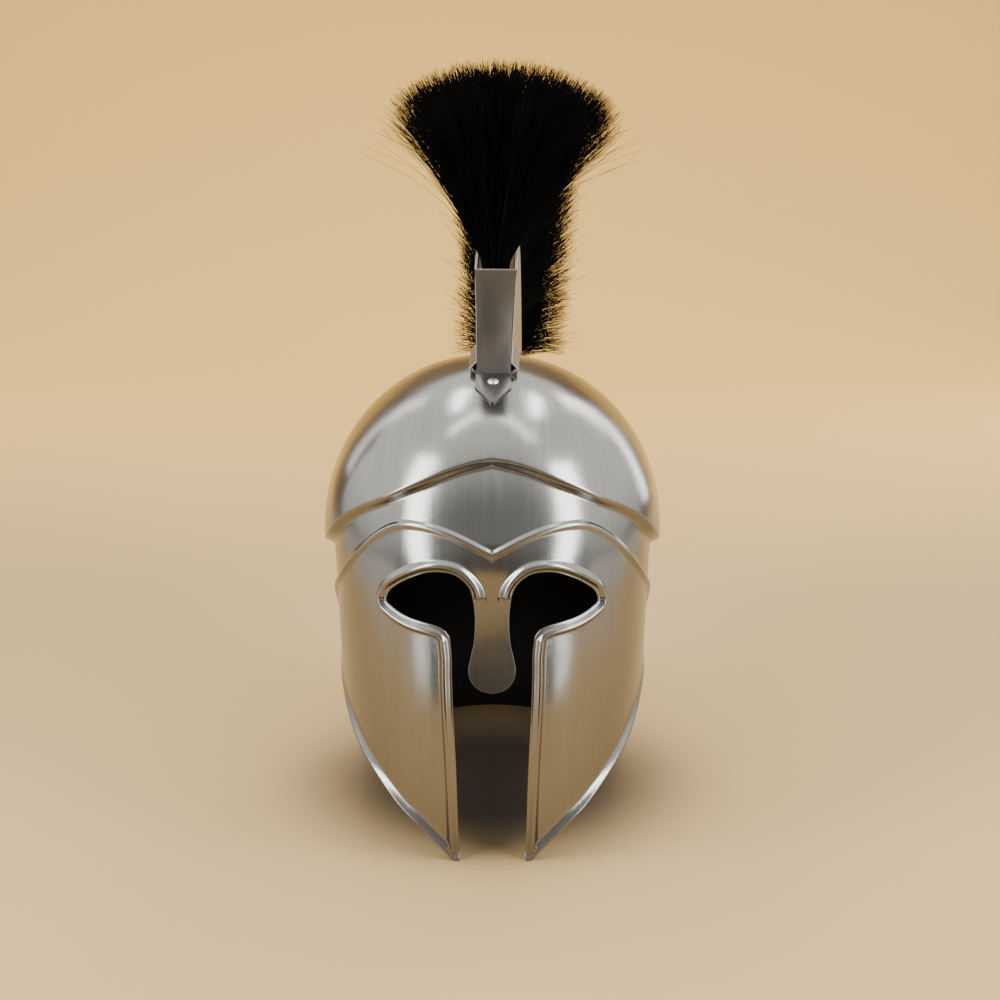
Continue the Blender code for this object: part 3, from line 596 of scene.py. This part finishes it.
def rounded_rim(spots, sides, edges):
    """Rows of points and normals that round the sheet's cut edge off, for its outer and inner points."""
    outer, inner = spots
    rim = sorted({a for edge in edges for a in edge})
    slot_of = {vertex: index for index, vertex in enumerate(rim)}
    away = np.zeros((len(rim), 3))
    for a, b in edges:
        push = np.cross(outer[b] - outer[a], sides[a] + sides[b])
        push /= np.linalg.norm(push)
        away[slot_of[a]] += push
        away[slot_of[b]] += push
    away /= np.linalg.norm(away, axis=1, keepdims=True)
    middle = (outer[rim] + inner[rim]) / 2
    half = (outer[rim] - inner[rim]) / 2
    points, normals = [], []
    for angle in RIM_ANGLES:
        points.append(middle + half * math.cos(angle) + away * RIM_ROUND * SHEET * math.sin(angle))
        normals.append(sides[rim] * math.cos(angle) + away * math.sin(angle))
    faces = []
    size, rows = len(rim), len(RIM_ANGLES)
    for a, b in edges:
        for row in range(rows + 1):
            upper = (a, b) if row == 0 else (("rim", (row - 1) * size + slot_of[a]),
                                             ("rim", (row - 1) * size + slot_of[b]))
            lower = (("inner", a), ("inner", b)) if row == rows else (("rim", row * size + slot_of[a]),
                                                                      ("rim", row * size + slot_of[b]))
            faces.append((upper[1], upper[0], lower[0], lower[1]))
    return np.concatenate(points), np.concatenate(normals), faces


def build_shell():
    """The raised steel sheet: outer and inner faces, the rounded edge between them, grain lines as its UV."""
    points, faces, lines = shell_half()
    spots, normals = [], []
    flip = np.array([-1.0, 1.0, 1.0])
    for shift, side in ((0.0, 1.0), (-SHEET, -1.0)):
        spot, normal, middle = sheet_points(points, lines, shift)
        spots.append(np.concatenate([spot, spot[~middle] * flip]))
        normals.append(side * np.concatenate([normal, normal[~middle] * flip]))
    girth = np.concatenate([points[:, 0], -points[~middle, 0]])
    climb = np.concatenate([points[:, 1], points[~middle, 1]])
    girth = girth * np.cos(np.maximum(climb - WIDEST_LEVEL, 0.0) / CROWN_RISE)
    other = np.arange(len(points))
    other[~middle] = len(points) + np.arange((~middle).sum())
    all_faces = list(faces) + [tuple(int(other[i]) for i in reversed(face)) for face in faces]
    count = len(spots[0])
    used = {pair for face in all_faces for pair in zip(face, face[1:] + face[:1])}
    edges = sorted((a, b) for a, b in used if (b, a) not in used)
    rim_spots, rim_normals, rim_faces = rounded_rim(spots, normals[0], edges)
    offsets = {"rim": 2 * count, "inner": count}
    rim_faces = [tuple(offsets[corner[0]] + corner[1] if isinstance(corner, tuple) else corner for corner in face)
                 for face in rim_faces]
    solid = all_faces + [tuple(count + i for i in reversed(face)) for face in all_faces] + rim_faces
    mesh = bpy.data.meshes.new("steel_shell")
    mesh.from_pydata(np.concatenate(spots + [rim_spots]).tolist(), [], solid)
    grain = mesh.uv_layers.new(name="grain")
    corners = np.zeros(len(mesh.loops), int)
    mesh.loops.foreach_get("vertex_index", corners)
    rim = sorted({a for edge in edges for a in edge})
    sheet = np.concatenate([np.arange(count), np.arange(count), np.tile(rim, len(RIM_ANGLES))])[corners]
    grain.data.foreach_set("uv", np.stack([girth[sheet], climb[sheet]], axis=1).ravel())
    finish = np.zeros(len(mesh.polygons), int)
    finish[len(all_faces):2 * len(all_faces)] = 1
    mesh.polygons.foreach_set("material_index", finish)
    mesh.shade_smooth()
    mesh.normals_split_custom_set(np.concatenate(normals + [rim_normals])[corners].tolist())
    mesh.update()
    return new_piece("steel_shell", mesh)


def new_piece(name, mesh):
    """An object at the origin that shows a mesh."""
    piece = bpy.data.objects.new(name, mesh)
    bpy.context.scene.collection.objects.link(piece)
    return piece


def joined_up(name, node_name):
    """A copy of one of the frame's solids whose faces share their points again."""
    work = bmesh.new()
    work.from_mesh(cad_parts[node_name].data)
    bmesh.ops.remove_doubles(work, verts=work.verts, dist=1e-6)
    bmesh.ops.dissolve_limit(work, angle_limit=math.radians(1.0), verts=work.verts, edges=work.edges)
    mesh = bpy.data.meshes.new(name)
    work.to_mesh(mesh)
    work.free()
    mesh.materials.clear()
    mesh.shade_smooth()
    return new_piece(name, mesh)


def eased_copy(name, node_name, width, *finishes):
    """A copy of one of the frame's solids with its sharp edges rounded off. The edges get the last finish."""
    source = joined_up(name, node_name)
    for finish in finishes:
        source.data.materials.append(finish)
    bevel = source.modifiers.new("eased", "BEVEL")
    bevel.width = width
    bevel.segments = 2
    bevel.limit_method = "ANGLE"
    bevel.angle_limit = math.radians(35.0)
    bevel.harden_normals = True
    bevel.material = len(finishes) - 1
    return settled(source)


def rounded_copy(name, node_name):
    """A copy of a round solid, cut finer, that keeps its hard edges."""
    source = joined_up(name, node_name)
    work = bmesh.new()
    work.from_mesh(source.data)
    crease = work.edges.layers.float.new("crease_edge")
    for edge in work.edges:
        if edge.calc_face_angle(0.0) > math.radians(50.0):
            edge[crease] = 1.0
    work.to_mesh(source.data)
    work.free()
    finer = source.modifiers.new("finer", "SUBSURF")
    finer.levels = finer.render_levels = 2
    return settled(source)


def settled(source):
    """A new object at the origin with the source's modifiers worked in, in its place."""
    graph = bpy.context.evaluated_depsgraph_get()
    mesh = bpy.data.meshes.new_from_object(source.evaluated_get(graph), depsgraph=graph)
    name = source.name
    bpy.data.objects.remove(source, do_unlink=True)
    mesh.name = name
    return new_piece(name, mesh)


def crest_point(angle, across, radius):
    """A point of the crest: angle back from upright in degrees, way across it, radius from its centre."""
    angle = np.radians(angle)
    back = radius * np.sin(angle)
    yaw = math.radians(CREST_TURN)
    side = CREST_SIDE + (radius - CROWN_RISE) * math.tan(math.radians(CREST_LEAN))
    x = side + back * math.sin(yaw) + across * math.cos(yaw)
    y = MIDDLE_Y + back * math.cos(yaw) - across * math.sin(yaw)
    return np.stack([x, y, WIDEST_LEVEL + radius * np.cos(angle)], axis=-1)


def hair_point(along, across, up):
    """A point in the plume: shares along the crest, across the fan (-1 to 1) and up the hair."""
    ways = column(HAIR_FAN, 0)
    lean, tilt, fan, length = [smooth(ways, column(HAIR_FAN, index), along) for index in (1, 2, 3, 4)]
    lean, aside = np.radians(lean), np.radians(tilt + fan * across)
    length = HAIR_LENGTH * length * (1 - (1 - WING_SHARE) * across ** 2)
    angle = HAIR_FRONT_ANGLE + (HAIR_REAR_ANGLE - HAIR_FRONT_ANGLE) * along
    root = crest_point(angle, across * HAIR_ROOT_HALF_WIDTH, HAIR_ROOT_RADIUS)
    sideways = length * smooth(column(HAIR_SWING, 0), column(HAIR_SWING, 1), up) * np.sin(aside)
    upward = length * up * np.cos(aside)
    yaw = math.radians(CREST_TURN)
    x = upward * np.sin(lean) * math.sin(yaw) + sideways * math.cos(yaw)
    y = upward * np.sin(lean) * math.cos(yaw) - sideways * math.sin(yaw)
    return root + np.stack([x, y, upward * np.cos(lean)], axis=-1)


def node(tree, kind, settings=None, **links):
    """Adds a node, with its settings, and joins or sets its inputs by name."""
    made = tree.nodes.new(kind)
    for key, value in (settings or {}).items():
        setattr(made, key, value)
    for key, value in links.items():
        by_index = key[0] == "i" and key[1:].isdigit()
        socket = made.inputs[int(key[1:]) if by_index else key.replace("_", " ")]
        if isinstance(value, bpy.types.NodeSocket):
            tree.links.new(value, socket)
        else:
            socket.default_value = value
    return made


def blend(tree, factor, low, high):
    """The colour between two by a factor, where each is a #RRGGBB colour or a socket."""
    tone = node(tree, "ShaderNodeMix", {"data_type": "RGBA"}, Factor=factor)
    ends = [socket for socket in tone.inputs if socket.type == "RGBA"]
    for socket, colour in zip(ends, (low, high)):
        if isinstance(colour, str):
            socket.default_value = linear(colour)
        else:
            tree.links.new(colour, socket)
    return [socket for socket in tone.outputs if socket.type == "RGBA"][0]


def linear(colour):
    """A #RRGGBB colour as linear values with full alpha."""
    parts = [int(colour[index:index + 2], 16) / 255 for index in (1, 3, 5)]
    return (*[p / 12.92 if p <= 0.04045 else ((p + 0.055) / 1.055) ** 2.4 for p in parts], 1.0)


def new_material(name):
    """An empty material with a surface shader, its node tree and that shader."""
    made = bpy.data.materials.new(name)
    made.use_nodes = True
    return made, made.node_tree, made.node_tree.nodes["Principled BSDF"]


def strand_tree(material):
    """The tree that turns lines into tapering three-sided hairs."""
    tree = bpy.data.node_groups.new("bristles", "GeometryNodeTree")
    face = tree.interface
    face.new_socket("Geometry", in_out="INPUT", socket_type="NodeSocketGeometry")
    for name in ("Root Radius", "Tip Radius"):
        face.new_socket(name, in_out="INPUT", socket_type="NodeSocketFloat")
    face.new_socket("Geometry", in_out="OUTPUT", socket_type="NodeSocketGeometry")
    given = tree.nodes.new("NodeGroupInput")
    lines = node(tree, "GeometryNodeMeshToCurve", Mesh=given.outputs["Geometry"])
    along = tree.nodes.new("GeometryNodeSplineParameter")
    slim = node(tree, "ShaderNodeMapRange", {"clamp": True}, Value=along.outputs["Factor"], From_Min=0.0,
                From_Max=1.0, To_Min=given.outputs["Root Radius"], To_Max=given.outputs["Tip Radius"])
    ring = node(tree, "GeometryNodeCurvePrimitiveCircle", Resolution=3, Radius=1.0)
    tubes = node(tree, "GeometryNodeCurveToMesh", Curve=lines.outputs[0], Profile_Curve=ring.outputs[0],
                 Scale=slim.outputs["Result"])
    soft = node(tree, "GeometryNodeSetShadeSmooth", Geometry=tubes.outputs[0])
    finish = node(tree, "GeometryNodeSetMaterial", Geometry=soft.outputs[0], Material=material)
    real = node(tree, "GeometryNodeRealizeInstances", Geometry=finish.outputs[0])
    out = tree.nodes.new("NodeGroupOutput")
    tree.links.new(real.outputs[0], out.inputs[0])
    return tree


def strand_lines(seed, count, clumps):
    """Points of the hairs, hair by hair, and each hair's shade."""
    random = np.random.default_rng(seed)
    along = random.uniform(0.0, 1.0, count)
    across = random.uniform(-1.0, 1.0, count)
    gap = np.hypot((along[:, None] - clumps[None, :, 0]) * 5.0, across[:, None] - clumps[None, :, 1])
    own = clumps[np.argmin(gap, axis=1)]
    pull = random.uniform(0.1, 0.5, count)
    reach = random.uniform(0.92, 1.045, count) * own[:, 2]
    loose = np.clip(random.standard_t(LOOSE_TAIL, (count, 2)), -9.0, 9.0) * np.array(LOOSE_SPREAD)
    lines = []
    for share in HAIR_STATIONS:
        drift = share ** 1.6
        a = along + (own[:, 0] - along) * pull * drift + loose[:, 0] * drift
        c = across + (own[:, 1] - across) * pull * drift + loose[:, 1] * drift
        a = np.clip(a, 0.0, 1.0)
        fluff = 1 + FUR_FLUFF * share * np.clip((a - FUR_START) / FUR_BLEND, 0.0, 1.0)
        spot = hair_point(a, c * fluff, share * reach)
        spot[:, 2] -= FUR_SAG * (share * np.clip((a - FUR_SAG_START) / (1 - FUR_SAG_START), 0.0, 1.0)) ** 2
        lines.append(spot + random.normal(0.0, HAIR_WANDER * share, (count, 3)))
    return np.stack(lines, axis=1), random.uniform(0.0, 0.6, count) + own[:, 3] * 0.4


def build_hair(material):
    """The bristles in bundles, drawn about twice as thick as real ones so that fewer fill the crest."""
    random = np.random.default_rng(11)
    clumps = np.stack([
        random.uniform(0.0, 1.0, HAIR_CLUMPS),
        random.uniform(-1.0, 1.0, HAIR_CLUMPS),
        random.uniform(0.96, 1.0, HAIR_CLUMPS),
        random.uniform(0.0, 1.0, HAIR_CLUMPS),
    ], axis=1)
    tree = strand_tree(material)
    made = []
    for bundle in range(HAIR_BUNDLES):
        points, shade = strand_lines(100 + bundle, HAIRS_IN_BUNDLE, clumps)
        count, rows = points.shape[:2]
        start = np.arange(count)[:, None] * rows + np.arange(rows - 1)[None, :]
        edges = np.stack([start, start + 1], axis=-1).reshape(-1, 2)
        mesh = bpy.data.meshes.new(f"bristles_{bundle + 1}")
        mesh.from_pydata(points.reshape(-1, 3).tolist(), edges.tolist(), [])
        mesh.attributes.new("shade", "FLOAT", "POINT").data.foreach_set("value", np.repeat(shade, rows))
        source = new_piece(mesh.name, mesh)
        grow = source.modifiers.new("bristles", "NODES")
        grow.node_group = tree
        sockets = {item.name: item.identifier for item in tree.interface.items_tree if item.in_out == "INPUT"}
        grow[sockets["Root Radius"]] = HAIR_ROOT_RADIUS_OF_ONE
        grow[sockets["Tip Radius"]] = HAIR_TIP_RADIUS_OF_ONE
        made.append(settled(source))
    return made


def build_core(material):
    """The dark mass of hair deep inside the crest."""
    rows, cols, ups = 24, 10, 6
    index, faces = {}, []
    cells = (rows, cols, ups)
    for axis in range(3):
        one, two = [a for a in range(3) if a != axis]
        for side in (0, cells[axis]):
            for u in range(cells[one]):
                for v in range(cells[two]):
                    face = []
                    for du, dv in ((0, 0), (1, 0), (1, 1), (0, 1)):
                        place = [0, 0, 0]
                        place[axis], place[one], place[two] = side, u + du, v + dv
                        face.append(index.setdefault(tuple(place), len(index)))
                    faces.append(tuple(face))
    i, j, k = np.array(list(index)).T
    points = hair_point(0.03 + 0.94 * i / rows, (2 * j / cols - 1) * 0.82, 0.78 * k / ups)
    mesh = bpy.data.meshes.new("hair_core")
    mesh.from_pydata(points.tolist(), [], faces)
    work = bmesh.new()
    work.from_mesh(mesh)
    bmesh.ops.recalc_face_normals(work, faces=work.faces)
    work.to_mesh(mesh)
    work.free()
    mesh.materials.append(material)
    return new_piece("hair_core", mesh)


def steel_material():
    """Satin steel brushed by hand up the sheet: fine vertical grain, faint streaks, and a hammered-out
    surface that isn't quite even, so that the reflections waver."""
    made, tree, shader = new_material("satin_brushed_steel")
    grain = node(tree, "ShaderNodeUVMap", {"uv_map": "grain"})
    fine = node(tree, "ShaderNodeMapping", Vector=grain.outputs["UV"], Scale=(1500.0, 40.0, 1.0))
    brush = node(tree, "ShaderNodeTexNoise", Vector=fine.outputs["Vector"], Scale=1.0, Detail=3.0,
                 Roughness=0.6)
    coarse = node(tree, "ShaderNodeMapping", Vector=grain.outputs["UV"], Scale=(260.0, 9.0, 1.0))
    streak = node(tree, "ShaderNodeTexNoise", Vector=coarse.outputs["Vector"], Scale=1.0, Detail=4.0,
                  Roughness=0.7)
    place = node(tree, "ShaderNodeTexCoord")
    patches = node(tree, "ShaderNodeTexNoise", Vector=place.outputs["Object"], Scale=26.0, Detail=3.0)
    dull = node(tree, "ShaderNodeMapRange", Value=patches.outputs["Fac"], From_Min=0.3, From_Max=0.7,
                To_Min=0.13, To_Max=0.19)
    rough = node(tree, "ShaderNodeMath", {"operation": "MULTIPLY_ADD"}, i0=streak.outputs["Fac"], i1=0.07,
                 i2=dull.outputs["Result"])
    waver = node(tree, "ShaderNodeTexNoise", Vector=place.outputs["Object"], Scale=17.0, Detail=1.0)
    uneven = node(tree, "ShaderNodeBump", Height=waver.outputs["Fac"], Strength=1.0, Distance=0.0012)
    lift = node(tree, "ShaderNodeBump", Height=brush.outputs["Fac"], Strength=0.30, Distance=0.0001,
                Normal=uneven.outputs["Normal"])
    tree.links.new(blend(tree, streak.outputs["Fac"], "#7B7A78", "#8B8A88"), shader.inputs["Base Color"])
    shader.inputs["Metallic"].default_value = 1.0
    tree.links.new(rough.outputs[0], shader.inputs["Roughness"])
    tree.links.new(lift.outputs[0], shader.inputs["Normal"])
    return made


def strip_material():
    """Steel strip brushed along its length: duller than the shell, so that its tone is the whole room's."""
    made, tree, shader = new_material("brushed_steel_strip")
    place = node(tree, "ShaderNodeTexCoord")
    fine = node(tree, "ShaderNodeMapping", Vector=place.outputs["Object"], Scale=(1300.0, 1300.0, 30.0))
    brush = node(tree, "ShaderNodeTexNoise", Vector=fine.outputs["Vector"], Scale=1.0, Detail=3.0,
                 Roughness=0.6)
    lift = node(tree, "ShaderNodeBump", Height=brush.outputs["Fac"], Strength=0.30, Distance=0.0001)
    tree.links.new(blend(tree, brush.outputs["Fac"], "#5C5A58", "#72706E"), shader.inputs["Base Color"])
    shader.inputs["Metallic"].default_value = 1.0
    shader.inputs["Roughness"].default_value = 0.42
    tree.links.new(lift.outputs[0], shader.inputs["Normal"])
    return made


def rivet_and_painted_edge_highlight_material():
    """Bright rivet steel, polished by its setting tool and lighter than what it holds. On the rounded edges of
    the channel and the straps it is a painted highlight.
    """
    made, _, shader = new_material("rivet_steel_and_painted_edge_highlight")
    shader.inputs["Base Color"].default_value = linear("#D9D8D6")
    shader.inputs["Metallic"].default_value = 1.0
    shader.inputs["Roughness"].default_value = 0.34
    return made


def inside_material():
    """The unpolished inside: near black, with only a dull sheen."""
    made, _, shader = new_material("near_black_inside")
    shader.inputs["Base Color"].default_value = linear("#0B0A09")
    shader.inputs["Roughness"].default_value = 0.7
    shader.inputs["Specular IOR Level"].default_value = 0.2
    return made


def wood_material():
    """Bare sanded hardwood with a faint straight grain along the block."""
    made, tree, shader = new_material("bare_hardwood")
    place = node(tree, "ShaderNodeTexCoord")
    stretch = node(tree, "ShaderNodeMapping", Vector=place.outputs["Object"], Scale=(700.0, 60.0, 700.0))
    grain = node(tree, "ShaderNodeTexNoise", Vector=stretch.outputs["Vector"], Scale=1.0, Detail=3.0)
    tree.links.new(blend(tree, grain.outputs["Fac"], "#8A6238", "#C79A62"), shader.inputs["Base Color"])
    shader.inputs["Roughness"].default_value = 0.6
    return made


def hair_material():
    """Stiff black bristle: matt and near black, a little greyer on some hairs."""
    made, tree, shader = new_material("black_bristle")
    shade = node(tree, "ShaderNodeAttribute", {"attribute_name": "shade"})
    tree.links.new(blend(tree, shade.outputs["Fac"], "#030303", "#151413"), shader.inputs["Base Color"])
    shader.inputs["Roughness"].default_value = 0.6
    shader.inputs["Specular IOR Level"].default_value = 0.0
    return made


def core_material():
    """The dark between the hairs."""
    made, _, shader = new_material("bristle_shadow")
    shader.inputs["Base Color"].default_value = linear("#020202")
    shader.inputs["Roughness"].default_value = 0.95
    shader.inputs["Specular IOR Level"].default_value = 0.0
    return made


def backdrop():
    """A pale table that curves up into a backdrop, and a second one in front of it, nearer the camera. The
    dark gap between them is what the nasal and the rims of the cheeks mirror. A shadow is painted on the
    table round the helmet, and the table is painted darker than the wall as shade."""
    made, tree, shader = new_material("paper_with_painted_shade")
    place = node(tree, "ShaderNodeTexCoord")
    parts = node(tree, "ShaderNodeSeparateXYZ", Vector=place.outputs["Object"])
    # Painted shade: the table is darker towards the front, and the paper lighter up the wall behind
    far = node(tree, "ShaderNodeMapRange", {"interpolation_type": "SMOOTHSTEP"}, Value=parts.outputs["Y"],
               From_Min=0.25, From_Max=0.95)
    tan = blend(tree, far.outputs["Result"], "#AC8F60", "#E3B762")
    high = node(tree, "ShaderNodeMapRange", {"interpolation_type": "SMOOTHSTEP"}, Value=parts.outputs["Z"],
                From_Min=0.32, From_Max=0.55)
    tan = blend(tree, high.outputs["Result"], tan, "#8F7550")
    side = node(tree, "ShaderNodeMath", {"operation": "ABSOLUTE"}, i0=parts.outputs["X"])
    spread = node(tree, "ShaderNodeMath", {"operation": "MULTIPLY_ADD"}, i0=parts.outputs["Y"],
                  i1=-PAPER_FLARE, i2=side.outputs[0])
    edge = node(tree, "ShaderNodeMapRange", {"interpolation_type": "SMOOTHSTEP"}, Value=spread.outputs[0],
                From_Min=PAPER_EDGE[0], From_Max=PAPER_EDGE[1])
    paper = blend(tree, edge.outputs["Result"], tan, blend(tree, far.outputs["Result"], "#A8A59E", "#7C6445"))
    # Painted shadow: the paper goes dark brown round the middle of the helmet and back to its own colour further
    # out
    reach = node(tree, "ShaderNodeVectorMath", {"operation": "DISTANCE"}, i0=place.outputs["Object"],
                 i1=PAPER_PAINTED_SHADOW_CENTRE)
    shade = node(tree, "ShaderNodeMapRange", {"interpolation_type": "SMOOTHSTEP"},
                 Value=reach.outputs["Value"], From_Min=PAPER_PAINTED_SHADOW[0], From_Max=PAPER_PAINTED_SHADOW[1])
    tree.links.new(blend(tree, shade.outputs["Result"], "#2C1F10", paper), shader.inputs["Base Color"])
    shader.inputs["Roughness"].default_value = 0.9
    profile = [(TABLE_FRONT, 0.0), (TABLE_BACK, 0.0)]
    profile += [(TABLE_BACK + SWEEP_RADIUS * math.sin(a), SWEEP_RADIUS * (1.0 - math.cos(a)))
                for a in np.linspace(0.1, math.pi / 2, 16)]
    profile += [(TABLE_BACK + SWEEP_RADIUS, SWEEP_TOP)]
    points = [(x, y, z - FLOOR_GAP) for y, z in profile for x in (-TABLE_HALF_WIDTH, TABLE_HALF_WIDTH)]
    faces = [(2 * i, 2 * i + 1, 2 * i + 3, 2 * i + 2) for i in range(len(profile) - 1)]
    points += [(side * FRONT_TABLE_HALF_WIDTH, y, -FLOOR_GAP) for y in FRONT_TABLE for side in (-1, 1)]
    faces.append(tuple(len(points) + corner for corner in (-4, -3, -1, -2)))
    mesh = bpy.data.meshes.new("backdrop")
    mesh.from_pydata(points, [], faces)
    mesh.shade_smooth()
    mesh.materials.append(made)
    floor = new_piece("backdrop", mesh)
    return floor


def direction(azimuth, height):
    """A unit vector from degrees round from the camera's side towards +X, and degrees up."""
    azimuth, height = math.radians(azimuth), math.radians(height)
    flat = math.cos(height)
    return Vector((math.sin(azimuth) * flat, -math.cos(azimuth) * flat, math.sin(height)))


def softbox(name, lower, upper, distance, width, radiance):
    """A strip light that spans two directions seen from the helmet, and faces it."""
    ends = [Vector(LIGHTS_AIM) + distance * direction(*end) for end in (lower, upper)]
    run = ends[1] - ends[0]
    data = bpy.data.lights.new(name, "AREA")
    data.shape = "RECTANGLE"
    data.size, data.size_y = width, run.length
    data.energy = radiance * math.pi * width * run.length
    lamp = bpy.data.objects.new(name, data)
    lamp.location = (ends[0] + ends[1]) / 2
    away = (lamp.location - Vector(LIGHTS_AIM)).normalized()
    along = (run - run.dot(away) * away).normalized()
    lamp.rotation_euler = Matrix((along.cross(away), along, away)).transposed().to_euler()
    bpy.context.scene.collection.objects.link(lamp)


def lights():
    """Strip lights beside and behind the helmet in a pale room that is dimmer in front and dark below."""
    for row in SOFTBOXES:
        softbox(*row)
    world = bpy.data.worlds.new("room")
    world.use_nodes = True
    tree = world.node_tree
    back = tree.nodes["Background"]
    look = node(tree, "ShaderNodeTexCoord")
    parts = node(tree, "ShaderNodeSeparateXYZ", Vector=look.outputs["Generated"])
    rise = node(tree, "ShaderNodeMapRange", {"interpolation_type": "SMOOTHSTEP"}, Value=parts.outputs["Z"],
                From_Min=-0.15, From_Max=0.30, To_Min=0.0, To_Max=1.0)
    levels = [node(tree, "ShaderNodeMapRange", {"interpolation_type": "SMOOTHSTEP"}, Value=parts.outputs["Y"],
                   From_Min=-0.80, From_Max=0.15, To_Min=low, To_Max=high)
              for low, high in (ROOM_GROUND, ROOM_WALLS)]
    both = node(tree, "ShaderNodeMapRange", Value=rise.outputs["Result"], From_Min=0.0, From_Max=1.0,
                To_Min=levels[0].outputs["Result"], To_Max=levels[1].outputs["Result"])
    back.inputs["Color"].default_value = linear("#FFFDF6")
    tree.links.new(both.outputs[0], back.inputs["Strength"])
    bpy.context.scene.world = world


def camera():
    """The photograph's view."""
    data = bpy.data.cameras.new("photo_view")
    data.sensor_fit = "HORIZONTAL"
    data.sensor_width = SENSOR_WIDTH
    data.lens = SENSOR_WIDTH * CAMERA_DISTANCE / FRAME_WIDTH
    data.clip_start = 0.05
    data.clip_end = 30.0
    eye = bpy.data.objects.new("photo_view", data)
    down = math.radians(CAMERA_DOWN)
    eye.location = Vector(CAMERA_AIM) + CAMERA_DISTANCE * Vector((0.0, -math.cos(down), math.sin(down)))
    eye.rotation_euler = (math.pi / 2 - down, 0.0, 0.0)
    bpy.context.scene.collection.objects.link(eye)
    bpy.context.scene.camera = eye


def dress(piece, material, slot, *nodes):
    """Gives a piece its finish and shows it."""
    piece.data.materials.append(material)
    show(piece, slot, *nodes)


def show(piece, slot, *nodes):
    """Fastens a piece to the helmet and hides the frame's solids that it stands for."""
    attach(piece, "root")
    if nodes:
        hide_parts(*nodes)


def main():
    steel, wood, bristle, shadow = steel_material(), wood_material(), hair_material(), core_material()
    strip, bright = strip_material(), rivet_and_painted_edge_highlight_material()
    shell = build_shell()
    shell.data.materials.append(steel)
    shell.data.materials.append(inside_material())
    show(shell, "steel", "helmet_shell")
    for name, ease in (("crest_channel", SHEET_EASE), ("front_strap", STRAP_EASE), ("rear_strap", STRAP_EASE)):
        # The rounded edges of the channel and the straps get the bright rivet steel: a painted highlight along
        # them
        show(eased_copy("steel_" + name, name, ease, strip, bright), "steel", name)
    for name in ("front_rivet", "rear_rivet"):
        dress(rounded_copy("steel_" + name, name), bright, "steel", name)
    show(eased_copy("wood_block", "plume_block", WOOD_EASE, wood), "wood", "plume_block")
    core, bundles = build_core(shadow), build_hair(bristle)
    show(core, "hair", "plume")
    for bundle in bundles:
        show(bundle, "hair")
    # The bright dome mirrors the room and not the hair over it, as in the photograph
    for piece in (core, *bundles):
        piece.visible_glossy = False
    backdrop()
    lights()
    camera()


main()
